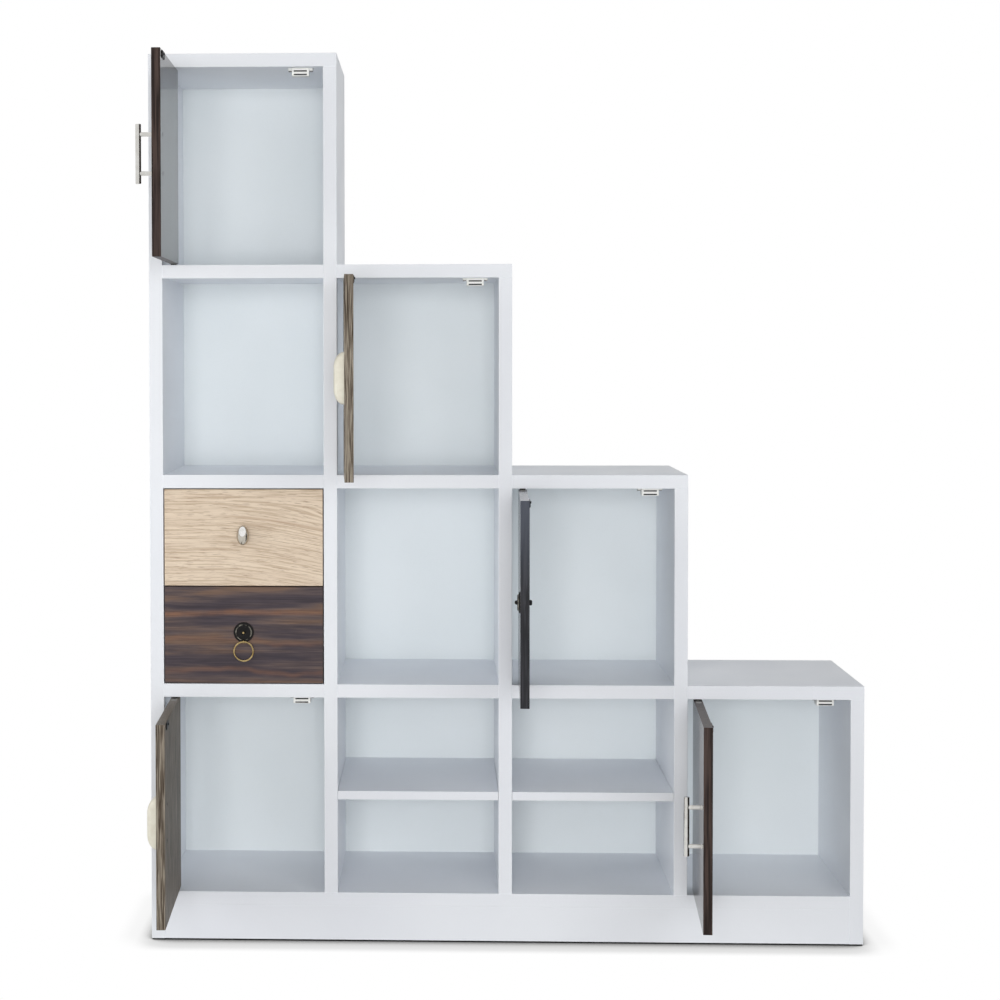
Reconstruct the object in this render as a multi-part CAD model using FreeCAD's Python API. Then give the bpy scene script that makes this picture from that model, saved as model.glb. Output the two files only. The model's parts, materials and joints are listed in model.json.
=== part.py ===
import FreeCAD, Part
import math
import os

from FreeCAD import Vector

# A stair-step cube bookcase: four columns of cells on one plinth, with five doors and two drawers.
# Millimetres. +X is to the right, +Y to the back, +Z up.
# The origin is on the floor, under the middle of the carcass.

# Carcass
cell_width = 300.0
cell_height = 366.0
column_cells = (4, 3, 2, 1)  # cells in each column, from left to right
board = 25.0
carcass_depth = 320.0
back_thickness = 5.0
kick_height = 64.0
kick_thickness = 16.0
kick_setback = 1.0
brace_thickness = 16.0
glide_height = 3.0
glide_diameter = 16.0
glide_inset = 40.0
half_shelf_thickness = 16.0
half_shelf_gap = 0.5
half_shelf_columns = (1, 2)
edge_round = 0.8

# Joinery
dowel_diameter = 8.0
dowel_length = 30.0
dowel_web = 3.0  # wood left between two holes that face each other in one board
dowel_inset = 50.0
dowel_end_gap = 0.5
joint_clearance = 0.05
shelf_pin_diameter = 5.0
shelf_pin_reach = 8.0
shelf_pin_web = 9.0
shelf_pin_inset = 45.0
screw_diameter = 3.0
screw_length = 15.0
screw_head_diameter = 6.0
screw_head_height = 1.6

# Doors and their pivot hinges
door_thickness = 16.0
door_side_gap = 2.5
corner_clearance = 0.75  # between a turning door's hinge corner and the wall
leaf_thickness = 2.0
leaf_width = 10.0
leaf_length = 46.0
leaf_margin = 3.0
leaf_front_margin = 1.5  # from the front edge of the carcass to a frame leaf
leaf_spacing = 1.0
leaf_running_gap = 0.3
leaf_screw_count = 2
pivot_diameter = 5.0
pivot_collar_diameter = 9.0
pivot_end_gap = 0.2

# Each door's cell, as its column and its level from the bottom
door_cells = {
    "door_1": (0, 3),
    "door_2": (1, 2),
    "door_3": (2, 1),
    "door_4": (3, 0),
    "door_5": (0, 0),
}
# How far each door stands open, in degrees
door_open_angles = {
    "door_1": 88.5,
    "door_2": 87.0,
    "door_3": 91.5,
    "door_4": 93.5,
    "door_5": 88.0,
}
door_pulls = {
    "door_1": "bar",
    "door_2": "cup",
    "door_3": "rosette",
    "door_4": "bar",
    "door_5": "cup",
}

# Magnetic catches and the strikes that they hold
catch_inset = 43.0  # from the right wall of the cell to the middle of the catch
catch_width = 32.0
catch_height = 14.5
catch_depth = 24.0
catch_ear_reach = 7.5
catch_ear_height = 4.0
catch_ear_depth = 14.0
pole_margin = 4.0  # from the end of a pole to the side of the housing
pole_thickness = 1.5
pole_proud = 1.6
pole_gap = 0.3
pole_drops = (5.5, 12.0)  # from the ceiling to the middle of each pole
strike_width = 36.0
strike_height = 13.0
strike_thickness = 2.0
strike_drop = 1.0
strike_screw_length = 10.0
strike_head_clearance = 0.3  # round a strike's screw head, which sits between the poles when shut

# Pulls
pull_inset = 35.0  # from the free edge of a door to the middle of its pull
bolt_diameter = 4.0
bolt_reach = 7.0
bolt_head_diameter = 8.0
bolt_head_height = 2.4
bar_diameter = 10.0
bar_length = 104.0
bar_projection = 32.0
bar_post_diameter = 8.0
bar_post_spacing = 68.0
bar_end_chamfer = 0.8
cup_length = 92.0
cup_width = 26.0
cup_projection = 18.5
cup_wall = 2.0
cup_round = 16.0
cup_boss_diameter = 8.0
cup_boss_spacing = 64.0
cup_boss_inset = 7.0
rosette_diameter = 38.0
rosette_rim_height = 2.5
rosette_rim_width = 3.8
rosette_crown_height = 5.0
rosette_slope = 2.0
rosette_boss_diameter = 8.0
rosette_boss_height = 9.5
rosette_bolt_head_diameter = 10.0
rosette_bolt_head_height = 5.0
ring_diameter = 39.0
ring_wire = 3.3
ring_plate_gap = 0.4
ring_overlap = 1.5  # of the ring's swing axis inside the rosette's edge
eyelet_clearance = 0.45
eyelet_wall = 1.6
eyelet_width = 3.0
knob_height = 37.0
knob_width = 23.0
knob_tip_round = 7.0
knob_gap = 2.0  # from the panel's face to the back of the egg
knob_stem_diameter = 10.0
knob_facet_tilt = 20.0
knob_facet_drop = 1.5

# Drawers
drawer_column = 0
drawer_level = 1
drawer_front_thickness = 16.0
drawer_gap = 2.0
drawer_pull_rise = 5.0  # of a pull above the middle of its front
drawer_side_thickness = 12.0
drawer_bottom_thickness = 4.0
drawer_bottom_lift = 10.0
drawer_groove_depth = 5.0
drawer_low_margin = 20.0
drawer_top_margin = 30.0
drawer_rear_clearance = 14.0
runner_gap = 12.5
rail_depth = 9.5
rail_height = 35.0
rail_wall = 1.5
rail_clearance = 0.3
rail_screw_space = 3.0
rail_front_clearance = 2.0
rail_screw_inset = 40.0

UP = Vector(0, 0, 1)
DOWN = Vector(0, 0, -1)
RIGHT = Vector(1, 0, 0)
LEFT = Vector(-1, 0, 0)
FRONT = Vector(0, -1, 0)
BACK = Vector(0, 1, 0)

# Layout worked out from the sizes above
column_count = len(column_cells)
column_pitch = cell_width + board
row_pitch = cell_height + board
carcass_width = column_count * column_pitch + board
left_face = -carcass_width / 2
front = -carcass_depth / 2
rear = carcass_depth / 2
back_face = rear - back_thickness
bottom_low = glide_height + kick_height
bottom_top = bottom_low + board
dowel_face_depth = (board - dowel_web) / 2
dowel_rows = (front + dowel_inset, rear - dowel_inset)

door_gap = leaf_thickness + leaf_spacing
half_door = door_thickness / 2
# The pivot stands where the door's two hinge corners clear the wall on their way round.
pivot_inset = (door_side_gap ** 2 + half_door ** 2 - corner_clearance ** 2)
pivot_inset /= 2 * (door_side_gap - corner_clearance)
catch_front = front + door_thickness + strike_thickness + pole_gap + pole_proud
pole_space = pole_drops[1] - pole_drops[0] - pole_thickness
strike_head_diameter = pole_space - 2 * strike_head_clearance
strike_head_height = pole_gap + pole_proud - strike_head_clearance
knob_standoff = knob_gap + knob_width / 2

drawer_front_height = (cell_height - 3 * drawer_gap) / 2
drawer_box_height = drawer_front_height - drawer_low_margin - drawer_top_margin
drawer_box_front = front + drawer_front_thickness
drawer_box_rear = back_face - drawer_rear_clearance

pieces = []
decks = {}  # the board under each cell, and the top of each column
uprights = []


class Piece:
    def __init__(self, node, solid):
        self.node = node
        self.solid = solid

    def drill(self, tool):
        self.solid = self.solid.cut(tool)


def add(node, solid):
    piece = Piece(node, solid)
    pieces.append(piece)
    return piece


def upright_left(index):
    return left_face + index * column_pitch


def cell_left(column):
    return upright_left(column) + board


def cell_right(column):
    return cell_left(column) + cell_width


def cell_floor(level):
    return bottom_top + level * row_pitch


def cell_ceiling(level):
    return cell_floor(level) + cell_height


def box(low, high):
    size = high - low
    return Part.makeBox(size.x, size.y, size.z, low)


def rod(diameter, length, start, along):
    return Part.makeCylinder(diameter / 2, length, start, along)


# A board whose two long front edges are eased.
def faced_board(low, high, along):
    solid = box(low, high)
    front_edges = []
    for edge in solid.Edges:
        run = edge.Vertexes[1].Point - edge.Vertexes[0].Point
        at_front = abs(edge.CenterOfMass.y - low.y) < edge_round
        if at_front and abs(run.dot(along)) > edge_round:
            front_edges.append(edge)
    return solid.makeFillet(edge_round, front_edges)


# A board eased all round.
def eased_board(low, high):
    solid = box(low, high)
    return solid.makeFillet(edge_round, solid.Edges)


# A hinge leaf: a flat strip with round ends.
def leaf_plate(start, along):
    radius = leaf_width / 2
    side = UP.cross(along) * radius
    end = start + along * leaf_length
    near, far = start + along * radius, end - along * radius
    far_end = Part.Arc(far - side, end, far + side).toShape()
    near_end = Part.Arc(near + side, start, near - side).toShape()
    right_edge = Part.makeLine(near - side, far - side)
    left_edge = Part.makeLine(far + side, near + side)
    outline = Part.Wire([right_edge, far_end, left_edge, near_end])
    return Part.Face(outline).extrude(UP * leaf_thickness)


# A dowel across the meeting of one board's face and another board's end.
def join(face_piece, end_piece, mouth, into_end):
    end_depth = dowel_length - dowel_face_depth
    hole = dowel_diameter + 2 * joint_clearance
    add("panel_dowels", rod(dowel_diameter, dowel_length, mouth - into_end * dowel_face_depth, into_end))
    face_piece.drill(rod(hole, dowel_face_depth + dowel_end_gap, mouth, -into_end))
    end_piece.drill(rod(hole, end_depth + dowel_end_gap, mouth, into_end))


def sunk_screw(seat, into, play):
    head = Part.makeCone(
        screw_head_diameter / 2 + play, screw_diameter / 2 + play, screw_head_height, seat, into)
    neck = seat + into * screw_head_height
    shank = rod(screw_diameter + 2 * play, screw_length - screw_head_height, neck, into)
    return head.fuse(shank)


# A countersunk screw through one piece into another.
def fix_sunk(node, seat, into, through):
    add(node, sunk_screw(seat, into, 0))
    for piece in through:
        piece.drill(sunk_screw(seat, into, joint_clearance))


def headed_pin(seat, into, diameter, length, head_diameter, head_height):
    head = rod(head_diameter, head_height, seat, -into)
    return head.fuse(rod(diameter, length, seat, into))


# A screw or bolt whose head stands on the seat.
def fix_headed(node, seat, into, diameter, length, head_diameter, head_height, through):
    add(node, headed_pin(seat, into, diameter, length, head_diameter, head_height))
    for piece in through:
        piece.drill(rod(diameter + 2 * joint_clearance, length + dowel_end_gap, seat, into))


def make_uprights():
    last = column_count
    names = ["left_side_panel"]
    names += ["divider_%d" % index for index in range(1, last)]
    names += ["right_side_panel"]
    for index, name in enumerate(names):
        column = max(index - 1, 0)
        foot = bottom_top if 0 < index < last else glide_height
        left = upright_left(index)
        low = Vector(left, front, foot)
        high = Vector(left + board, rear, cell_ceiling(column_cells[column] - 1))
        uprights.append(add(name, faced_board(low, high, UP)))


def make_bottom():
    low = Vector(cell_left(0), front, bottom_low)
    high = Vector(cell_right(column_count - 1), rear, bottom_top)
    bottom = add("bottom_panel", faced_board(low, high, RIGHT))
    for column in range(column_count):
        decks[column, 0] = bottom
    middle_z = (bottom_low + bottom_top) / 2
    for row in dowel_rows:
        join(uprights[0], bottom, Vector(low.x, row, middle_z), RIGHT)
        join(uprights[-1], bottom, Vector(high.x, row, middle_z), LEFT)
        for index in range(1, column_count):
            middle_x = upright_left(index) + board / 2
            join(bottom, uprights[index], Vector(middle_x, row, bottom_top), UP)


def make_fixed_shelves():
    for column, cells in enumerate(column_cells):
        for level in range(1, cells):
            low = Vector(cell_left(column), front, cell_floor(level) - board)
            high = Vector(cell_right(column), back_face, cell_floor(level))
            shelf = add("fixed_shelves", faced_board(low, high, RIGHT))
            decks[column, level] = shelf
            middle_z = (low.z + high.z) / 2
            for row in dowel_rows:
                join(uprights[column], shelf, Vector(low.x, row, middle_z), RIGHT)
                join(uprights[column + 1], shelf, Vector(high.x, row, middle_z), LEFT)


# Each column's top lies on the upright at its right, and the tallest one on both.
def make_tops():
    for column, cells in enumerate(column_cells):
        under = cell_ceiling(cells - 1)
        start_x = left_face if column == 0 else cell_left(column)
        low = Vector(start_x, front, under)
        high = Vector(cell_right(column) + board, rear, under + board)
        top = add("top_panel_%d" % (column + 1), faced_board(low, high, RIGHT))
        decks[column, cells] = top
        for row in dowel_rows:
            join(top, uprights[column + 1], Vector(cell_right(column) + board / 2, row, under), DOWN)
            if column == 0:
                join(top, uprights[0], Vector(left_face + board / 2, row, under), DOWN)
            else:
                join(uprights[column], top, Vector(start_x, row, under + board / 2), RIGHT)


def make_plinth():
    start_x, end_x = cell_left(0), cell_right(column_count - 1)
    middle_z = (glide_height + bottom_low) / 2
    for low_y in (front + kick_setback, rear - kick_setback - kick_thickness):
        low = Vector(start_x, low_y, glide_height)
        high = Vector(end_x, low_y + kick_thickness, bottom_low)
        kickboard = add("kickboards", box(low, high))
        middle_y = low_y + kick_thickness / 2
        join(uprights[0], kickboard, Vector(start_x, middle_y, middle_z), RIGHT)
        join(uprights[-1], kickboard, Vector(end_x, middle_y, middle_z), LEFT)
    brace_front = front + kick_setback + kick_thickness
    low = Vector(-brace_thickness / 2, brace_front, glide_height)
    high = Vector(brace_thickness / 2, -brace_front, bottom_low)
    brace = add("centre_brace", box(low, high))
    for row in dowel_rows:
        join(decks[0, 0], brace, Vector(0, row, bottom_low), DOWN)
    side_x = carcass_width / 2 - board / 2
    places = [Vector(0, 0, 0)]
    for x in (-side_x, side_x):
        places += [Vector(x, front + glide_inset, 0), Vector(x, rear - glide_inset, 0)]
    for place in places:
        add("floor_glides", rod(glide_diameter, glide_height, place, UP))


def make_backs():
    for column, cells in enumerate(column_cells):
        low = Vector(cell_left(column), back_face, bottom_top)
        high = Vector(cell_right(column), rear, cell_ceiling(cells - 1))
        add("back_panel_%d" % (column + 1), box(low, high))


# Thin shelves half way up, each on four pins.
def make_half_shelves():
    pin_depth = (board - shelf_pin_web) / 2
    hole = shelf_pin_diameter + 2 * joint_clearance
    for column in half_shelf_columns:
        under = cell_floor(0) + (cell_height - half_shelf_thickness) / 2
        over = under + half_shelf_thickness
        low = Vector(cell_left(column) + half_shelf_gap, front, under)
        high = Vector(cell_right(column) - half_shelf_gap, back_face - half_shelf_gap, over)
        add("half_shelves", faced_board(low, high, RIGHT))
        pin_z = under - shelf_pin_diameter / 2
        for y in (front + shelf_pin_inset, rear - shelf_pin_inset):
            for upright, wall_x, inwards in (
                (uprights[column], cell_left(column), RIGHT),
                (uprights[column + 1], cell_right(column), LEFT),
            ):
                mouth = Vector(wall_x, y, pin_z)
                start = mouth - inwards * pin_depth
                add("shelf_pins", rod(shelf_pin_diameter, pin_depth + shelf_pin_reach, start, inwards))
                upright.drill(rod(hole, pin_depth + dowel_end_gap, mouth, -inwards))


# The screws of a leaf are spread evenly from its pivot to its far end.
def leaf_screw_places(pivot, lead, along):
    step = (leaf_length - lead) / (leaf_screw_count + 1)
    return [pivot + along * step * (index + 1) for index in range(leaf_screw_count)]


# The plates on the carcass that hold a door's two pivots and run back from them.
def make_frame_leaves(column, level, pivot):
    lead = pivot.y - front - leaf_front_margin
    hole = pivot_diameter + 2 * joint_clearance
    top_low = cell_ceiling(level) - leaf_thickness
    foot_low = cell_floor(level)
    ends = (
        (top_low, top_low, UP, decks[column, level + 1]),
        (foot_low, foot_low + leaf_thickness, DOWN, decks[column, level]),
    )
    for low_z, face_z, into, deck in ends:
        foot = Vector(pivot.x, pivot.y, low_z)
        leaf = add("hinge_frame_leaves", leaf_plate(foot - BACK * lead, BACK))
        leaf.drill(rod(hole, leaf_thickness, foot, UP))
        for seat in leaf_screw_places(Vector(pivot.x, pivot.y, face_z), lead, BACK):
            fix_sunk("carcass_screws", seat, into, (leaf, deck))


# The plates let into a door's top and bottom edges, each with its pivot pin.
def make_door_leaves(name, panel, column, level, pivot):
    node = name + "_hinge_leaves"
    lead = pivot.x - cell_left(column) - door_side_gap - leaf_margin
    collar_height = leaf_spacing - leaf_running_gap
    pin_height = leaf_spacing + leaf_thickness - pivot_end_gap
    ends = (
        (cell_ceiling(level) - door_gap, UP, cell_ceiling(level) - door_gap - leaf_thickness),
        (cell_floor(level) + door_gap, DOWN, cell_floor(level) + door_gap),
    )
    for edge_z, outwards, low_z in ends:
        plate = leaf_plate(Vector(pivot.x - lead, pivot.y, low_z), RIGHT)
        panel.drill(plate)
        foot = Vector(pivot.x, pivot.y, edge_z)
        plate = plate.fuse(rod(pivot_collar_diameter, collar_height, foot, outwards))
        plate = plate.fuse(rod(pivot_diameter, pin_height, foot, outwards))
        leaf = add(node, plate)
        for seat in leaf_screw_places(foot, lead, RIGHT):
            fix_sunk(node, seat, -outwards, (leaf, panel))


# A magnetic catch under the ceiling of a cell, with two steel poles that show at its front.
def make_catch(column, level):
    middle_x = cell_right(column) - catch_inset
    ceiling = cell_ceiling(level)
    body = box(
        Vector(middle_x - catch_width / 2, catch_front, ceiling - catch_height),
        Vector(middle_x + catch_width / 2, catch_front + catch_depth, ceiling))
    ear_front = catch_front + (catch_depth - catch_ear_depth) / 2
    ear_end = catch_width / 2 + catch_ear_reach
    ears = box(
        Vector(middle_x - ear_end, ear_front, ceiling - catch_ear_height),
        Vector(middle_x + ear_end, ear_front + catch_ear_depth, ceiling))
    housing = add("catch_housings", body.fuse(ears).removeSplitter())
    pole_depth = catch_depth / 2
    pole_reach = catch_width / 2 - pole_margin
    play = Vector(joint_clearance, joint_clearance, joint_clearance)
    for drop in pole_drops:
        pole_low = ceiling - drop - pole_thickness / 2
        low = Vector(middle_x - pole_reach, catch_front - pole_proud, pole_low)
        high = Vector(middle_x + pole_reach, catch_front + pole_depth, pole_low + pole_thickness)
        housing.drill(box(low - play, high + play))
        add("catch_poles", box(low, high))
    ear_middle = ear_end - catch_ear_reach / 2
    for side in (-1, 1):
        seat = Vector(middle_x + side * ear_middle, catch_front + catch_depth / 2, ceiling - catch_ear_height)
        fix_headed(
            "carcass_screws", seat, UP, screw_diameter, screw_length,
            screw_head_diameter, screw_head_height, (housing, decks[column, level + 1]))


# The black strike plate on the inner face of a door, with its screw.
def make_strike(name, panel, column, level):
    node = name + "_strike"
    middle_x = cell_right(column) - catch_inset
    face_y = front + door_thickness
    top = cell_ceiling(level) - door_gap - strike_drop
    low = Vector(middle_x - strike_width / 2, face_y, top - strike_height)
    high = Vector(middle_x + strike_width / 2, face_y + strike_thickness, top)
    plate = add(node, box(low, high))
    seat = Vector(middle_x, high.y, cell_ceiling(level) - sum(pole_drops) / 2)
    fix_headed(
        node, seat, FRONT, screw_diameter, strike_screw_length,
        strike_head_diameter, strike_head_height, (plate, panel))


# Pulls are built about the middle of their seat, with the panel's face at y = 0.
def bar_pull():
    axis_y = bar_diameter / 2 - bar_projection
    bar = rod(bar_diameter, bar_length, Vector(0, axis_y, -bar_length / 2), UP)
    rims = [edge for edge in bar.Edges if isinstance(edge.Curve, Part.Circle)]
    pull = bar.makeChamfer(bar_end_chamfer, rims)
    for side in (-1, 1):
        foot = Vector(0, 0, side * bar_post_spacing / 2)
        pull = pull.fuse(rod(bar_post_diameter, -axis_y, foot, FRONT))
    return pull


def cup_shape(wall):
    low = Vector(-cup_width / 2, wall - cup_projection, wall - cup_length / 2)
    high = Vector(cup_width / 2 - wall, 0, cup_length / 2 - wall)
    shape = box(low, high)
    room = min(cup_projection, cup_width, cup_length / 2) - cup_wall
    radius = min(cup_round, room) - wall
    rounded = []
    for edge in shape.Edges:
        middle = edge.CenterOfMass
        on_roof = abs(middle.y - low.y) < cup_wall
        on_side = abs(middle.x - high.x) < cup_wall
        on_end = min(abs(middle.z - low.z), abs(middle.z - high.z)) < cup_wall
        if [on_roof, on_side, on_end].count(True) == 2:
            rounded.append(edge)
    return shape.makeFillet(radius, rounded)


# A cup pull, open towards the hinge side of the door.
def cup_pull():
    outer = cup_shape(0)
    shell = outer.cut(cup_shape(cup_wall))
    for side in (-1, 1):
        foot = Vector(cup_boss_inset - cup_width / 2, 0, side * cup_boss_spacing / 2)
        boss = rod(cup_boss_diameter, cup_projection, foot, FRONT)
        shell = shell.fuse(boss.common(outer))
    return shell.removeSplitter()


def ring_axis_drop():
    return rosette_diameter / 2 - ring_overlap


def ring_axis_depth():
    return rosette_rim_height + ring_plate_gap + ring_wire / 2


# A round plate that rises from a flat rim to a crown, with a boss in the middle.
def rosette():
    outer = rosette_diameter / 2
    rim = outer - rosette_rim_width
    boss = rosette_boss_diameter / 2
    dome = boss
    outline = [
        Vector(0, 0, 0),
        Vector(outer, 0, 0),
        Vector(outer, -rosette_rim_height, 0),
        Vector(rim, -rosette_rim_height, 0),
        Vector(rim - rosette_slope, -rosette_crown_height, 0),
        Vector(boss, -rosette_crown_height, 0),
        Vector(boss, dome - rosette_boss_height, 0),
    ]
    tip = Vector(0, -rosette_boss_height, 0)
    half_way = dome * math.sin(math.pi / 4)
    on_dome = Vector(half_way, dome - rosette_boss_height - half_way, 0)
    edges = [Part.makeLine(a, b) for a, b in zip(outline, outline[1:])]
    edges.append(Part.Arc(outline[-1], on_dome, tip).toShape())
    edges.append(Part.makeLine(tip, outline[0]))
    return Part.Face(Part.Wire(edges)).revolve(Vector(0, 0, 0), BACK, 360)


# The same plate with an eyelet for a ring at its lower edge.
def rosette_with_eyelet():
    hole = ring_wire + 2 * eyelet_clearance
    axis_start = Vector(-eyelet_width / 2, -ring_axis_depth(), -ring_axis_drop())
    eyelet = rod(hole + 2 * eyelet_wall, eyelet_width, axis_start, RIGHT)
    neck_half = hole / 2 + eyelet_wall
    neck = box(axis_start, axis_start + Vector(eyelet_width, ring_axis_depth(), neck_half))
    plate = rosette().fuse(eyelet).fuse(neck)
    return plate.cut(rod(hole, eyelet_width, axis_start, RIGHT))


# The ring hangs in its eyelet, in front of the rosette's lower edge.
def ring():
    radius = (ring_diameter - ring_wire) / 2
    middle = Vector(0, -ring_axis_depth(), -ring_axis_drop() - radius)
    return Part.makeTorus(radius, ring_wire / 2, middle, BACK)


# Half of an upright oval, made of a flank arc and two tip arcs that run into it.
def oval_profile():
    half_width, half_height = knob_width / 2, knob_height / 2
    tip_middle = UP * (half_height - knob_tip_round)
    flank_round = half_width ** 2 + tip_middle.z ** 2 - knob_tip_round ** 2
    flank_round /= 2 * (half_width - knob_tip_round)
    flank_middle = RIGHT * (half_width - flank_round)
    meet = tip_middle + (tip_middle - flank_middle).normalize() * knob_tip_round
    tip = UP * half_height
    on_tip = tip_middle + (tip + meet - tip_middle * 2).normalize() * knob_tip_round
    mirrored = [Vector(point.x, 0, -point.z) for point in (meet, on_tip, tip)]
    return Part.Wire([
        Part.Arc(tip, on_tip, meet).toShape(),
        Part.Arc(meet, RIGHT * half_width, mirrored[0]).toShape(),
        Part.Arc(*mirrored).toShape(),
        Part.makeLine(mirrored[2], tip),
    ])


# An upright egg-shaped knob with a slanted facet on its upper half.
def oval_knob():
    middle = FRONT * knob_standoff
    egg = Part.Face(oval_profile()).revolve(Vector(0, 0, 0), UP, 360)
    egg.translate(middle)
    crest = middle + FRONT * (knob_width / 2) + DOWN * knob_facet_drop
    reach = Vector(knob_height, 0, knob_height)
    waste = box(crest - reach + FRONT * knob_height, crest + reach)
    waste.rotate(crest, LEFT, knob_facet_tilt)
    stem = rod(knob_stem_diameter, knob_standoff, Vector(0, 0, 0), FRONT)
    return egg.cut(waste).fuse(stem)


# A bolt whose head lies flush in the back of the panel.
def fix_flush_bolt(node, mouth, thickness, pull, panel):
    panel.drill(rod(bolt_head_diameter + 2 * joint_clearance, bolt_head_height, mouth, FRONT))
    seat = mouth + FRONT * bolt_head_height
    length = thickness - bolt_head_height + bolt_reach
    fix_headed(node, seat, FRONT, bolt_diameter, length, bolt_head_diameter, bolt_head_height, (pull, panel))


# A bolt whose thick head stands on the back of the panel.
def fix_proud_bolt(node, mouth, thickness, pull, panel):
    fix_headed(
        node, mouth, FRONT, bolt_diameter, thickness + bolt_reach,
        rosette_bolt_head_diameter, rosette_bolt_head_height, (pull, panel))


# Seats a pull on a panel's face and bolts it from behind.
def fit_pull(node, panel, face_middle, shape, bolt_places, thickness, fix_bolt=fix_flush_bolt):
    shape.translate(face_middle)
    pull = add(node, shape)
    for place in bolt_places:
        fix_bolt(node, face_middle + place + BACK * thickness, thickness, pull, panel)


def fit_bar(name, panel, place, thickness):
    bolts = [Vector(0, 0, side * bar_post_spacing / 2) for side in (-1, 1)]
    fit_pull(name + "_bar_pull", panel, place, bar_pull(), bolts, thickness)


def fit_cup(name, panel, place, thickness):
    boss_x = cup_boss_inset - cup_width / 2
    bolts = [Vector(boss_x, 0, side * cup_boss_spacing / 2) for side in (-1, 1)]
    fit_pull(name + "_cup_pull", panel, place, cup_pull(), bolts, thickness)


def fit_plate(name, panel, place, thickness, plate):
    fit_pull(name + "_rosette", panel, place, plate, [Vector(0, 0, 0)], thickness, fix_proud_bolt)


def fit_rosette(name, panel, place, thickness):
    fit_plate(name, panel, place, thickness, rosette())


def fit_ring(name, panel, place, thickness):
    fit_plate(name, panel, place, thickness, rosette_with_eyelet())
    loop = ring()
    loop.translate(place)
    add(name + "_ring", loop)


def fit_knob(name, panel, place, thickness):
    fit_pull(name + "_knob", panel, place, oval_knob(), [Vector(0, 0, 0)], thickness)


fit_by_kind = {"bar": fit_bar, "cup": fit_cup, "rosette": fit_rosette, "ring": fit_ring, "knob": fit_knob}


def door_pivot(column, level):
    return Vector(cell_left(column) + pivot_inset, front + half_door, cell_floor(level))


# A door is built shut, then turned about its pivots to the angle that it stands open at.
def make_door(name):
    column, level = door_cells[name]
    pivot = door_pivot(column, level)
    make_frame_leaves(column, level, pivot)
    make_catch(column, level)
    first = len(pieces)
    low = Vector(cell_left(column) + door_side_gap, front, cell_floor(level) + door_gap)
    high = Vector(cell_right(column) - door_side_gap, front + door_thickness, cell_ceiling(level) - door_gap)
    panel = add(name + "_panel", eased_board(low, high))
    make_door_leaves(name, panel, column, level, pivot)
    make_strike(name, panel, column, level)
    pull_place = Vector(high.x - pull_inset, front, (low.z + high.z) / 2)
    fit_by_kind[door_pulls[name]](name, panel, pull_place, door_thickness)
    for piece in pieces[first:]:
        piece.solid.rotate(pivot, UP, -door_open_angles[name])


# The channel on each wall and the bar on the drawer that slides in it.
def make_runners(name, box_low):
    rail_low = box_low + (drawer_box_height - rail_height) / 2
    rail_front = drawer_box_front + rail_front_clearance
    bar_low = rail_low + rail_wall + rail_clearance
    bar_high = rail_low + rail_height - rail_wall - rail_clearance
    bar_start = rail_wall + rail_screw_space
    walls = (
        (cell_left(drawer_column), RIGHT, uprights[drawer_column]),
        (cell_right(drawer_column), LEFT, uprights[drawer_column + 1]),
    )
    for wall_x, inwards, upright in walls:
        span = sorted((wall_x, wall_x + inwards.x * rail_depth))
        channel = box(
            Vector(span[0], rail_front, rail_low), Vector(span[1], drawer_box_rear, rail_low + rail_height))
        groove = sorted((wall_x + inwards.x * rail_wall, wall_x + inwards.x * rail_depth))
        channel = channel.cut(box(
            Vector(groove[0], rail_front, rail_low + rail_wall),
            Vector(groove[1], drawer_box_rear, rail_low + rail_height - rail_wall)))
        rail = add("drawer_rails", channel)
        for y in (rail_front + rail_screw_inset, drawer_box_rear - rail_screw_inset):
            seat = Vector(wall_x + inwards.x * rail_wall, y, rail_low + rail_height / 2)
            fix_headed(
                "carcass_screws", seat, -inwards, screw_diameter, screw_length - rail_wall,
                screw_head_diameter, screw_head_height, (rail, upright))
        bar = sorted((wall_x + inwards.x * bar_start, wall_x + inwards.x * runner_gap))
        low = Vector(bar[0], rail_front, bar_low)
        high = Vector(bar[1], drawer_box_rear, bar_high)
        add(name + "_runner_bars", box(low, high))


def make_drawer(name, front_low, pull_kind):
    left, right = cell_left(drawer_column), cell_right(drawer_column)
    low = Vector(left + drawer_gap, front, front_low)
    high = Vector(right - drawer_gap, drawer_box_front, front_low + drawer_front_height)
    panel = add(name + "_front", eased_board(low, high))
    box_low = front_low + drawer_low_margin
    box_high = box_low + drawer_box_height
    inner_left = left + runner_gap + drawer_side_thickness
    inner_right = right - runner_gap - drawer_side_thickness
    boards = []
    for start_x in (left + runner_gap, inner_right):
        side_low = Vector(start_x, drawer_box_front, box_low)
        side_high = Vector(start_x + drawer_side_thickness, drawer_box_rear, box_high)
        boards.append(add(name + "_sides", box(side_low, side_high)))
    back_front = drawer_box_rear - drawer_side_thickness
    back_low = Vector(inner_left, back_front, box_low)
    boards.append(add(name + "_back", box(back_low, Vector(inner_right, drawer_box_rear, box_high))))
    boards.append(panel)
    tray_low = box_low + drawer_bottom_lift
    tray_top = tray_low + drawer_bottom_thickness
    tray = box(
        Vector(inner_left - drawer_groove_depth, drawer_box_front - drawer_groove_depth, tray_low),
        Vector(inner_right + drawer_groove_depth, back_front + drawer_groove_depth, tray_top))
    for piece in boards:
        piece.drill(tray)
    add(name + "_bottom", tray)
    make_runners(name, box_low)
    pull_z = front_low + drawer_front_height / 2 + drawer_pull_rise
    place = Vector((left + right) / 2, front, pull_z)
    fit_by_kind[pull_kind](name, panel, place, drawer_front_thickness)


def make_drawers():
    floor = cell_floor(drawer_level)
    make_drawer("drawer_lower", floor + drawer_gap, "ring")
    make_drawer("drawer_upper", floor + 2 * drawer_gap + drawer_front_height, "knob")


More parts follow.
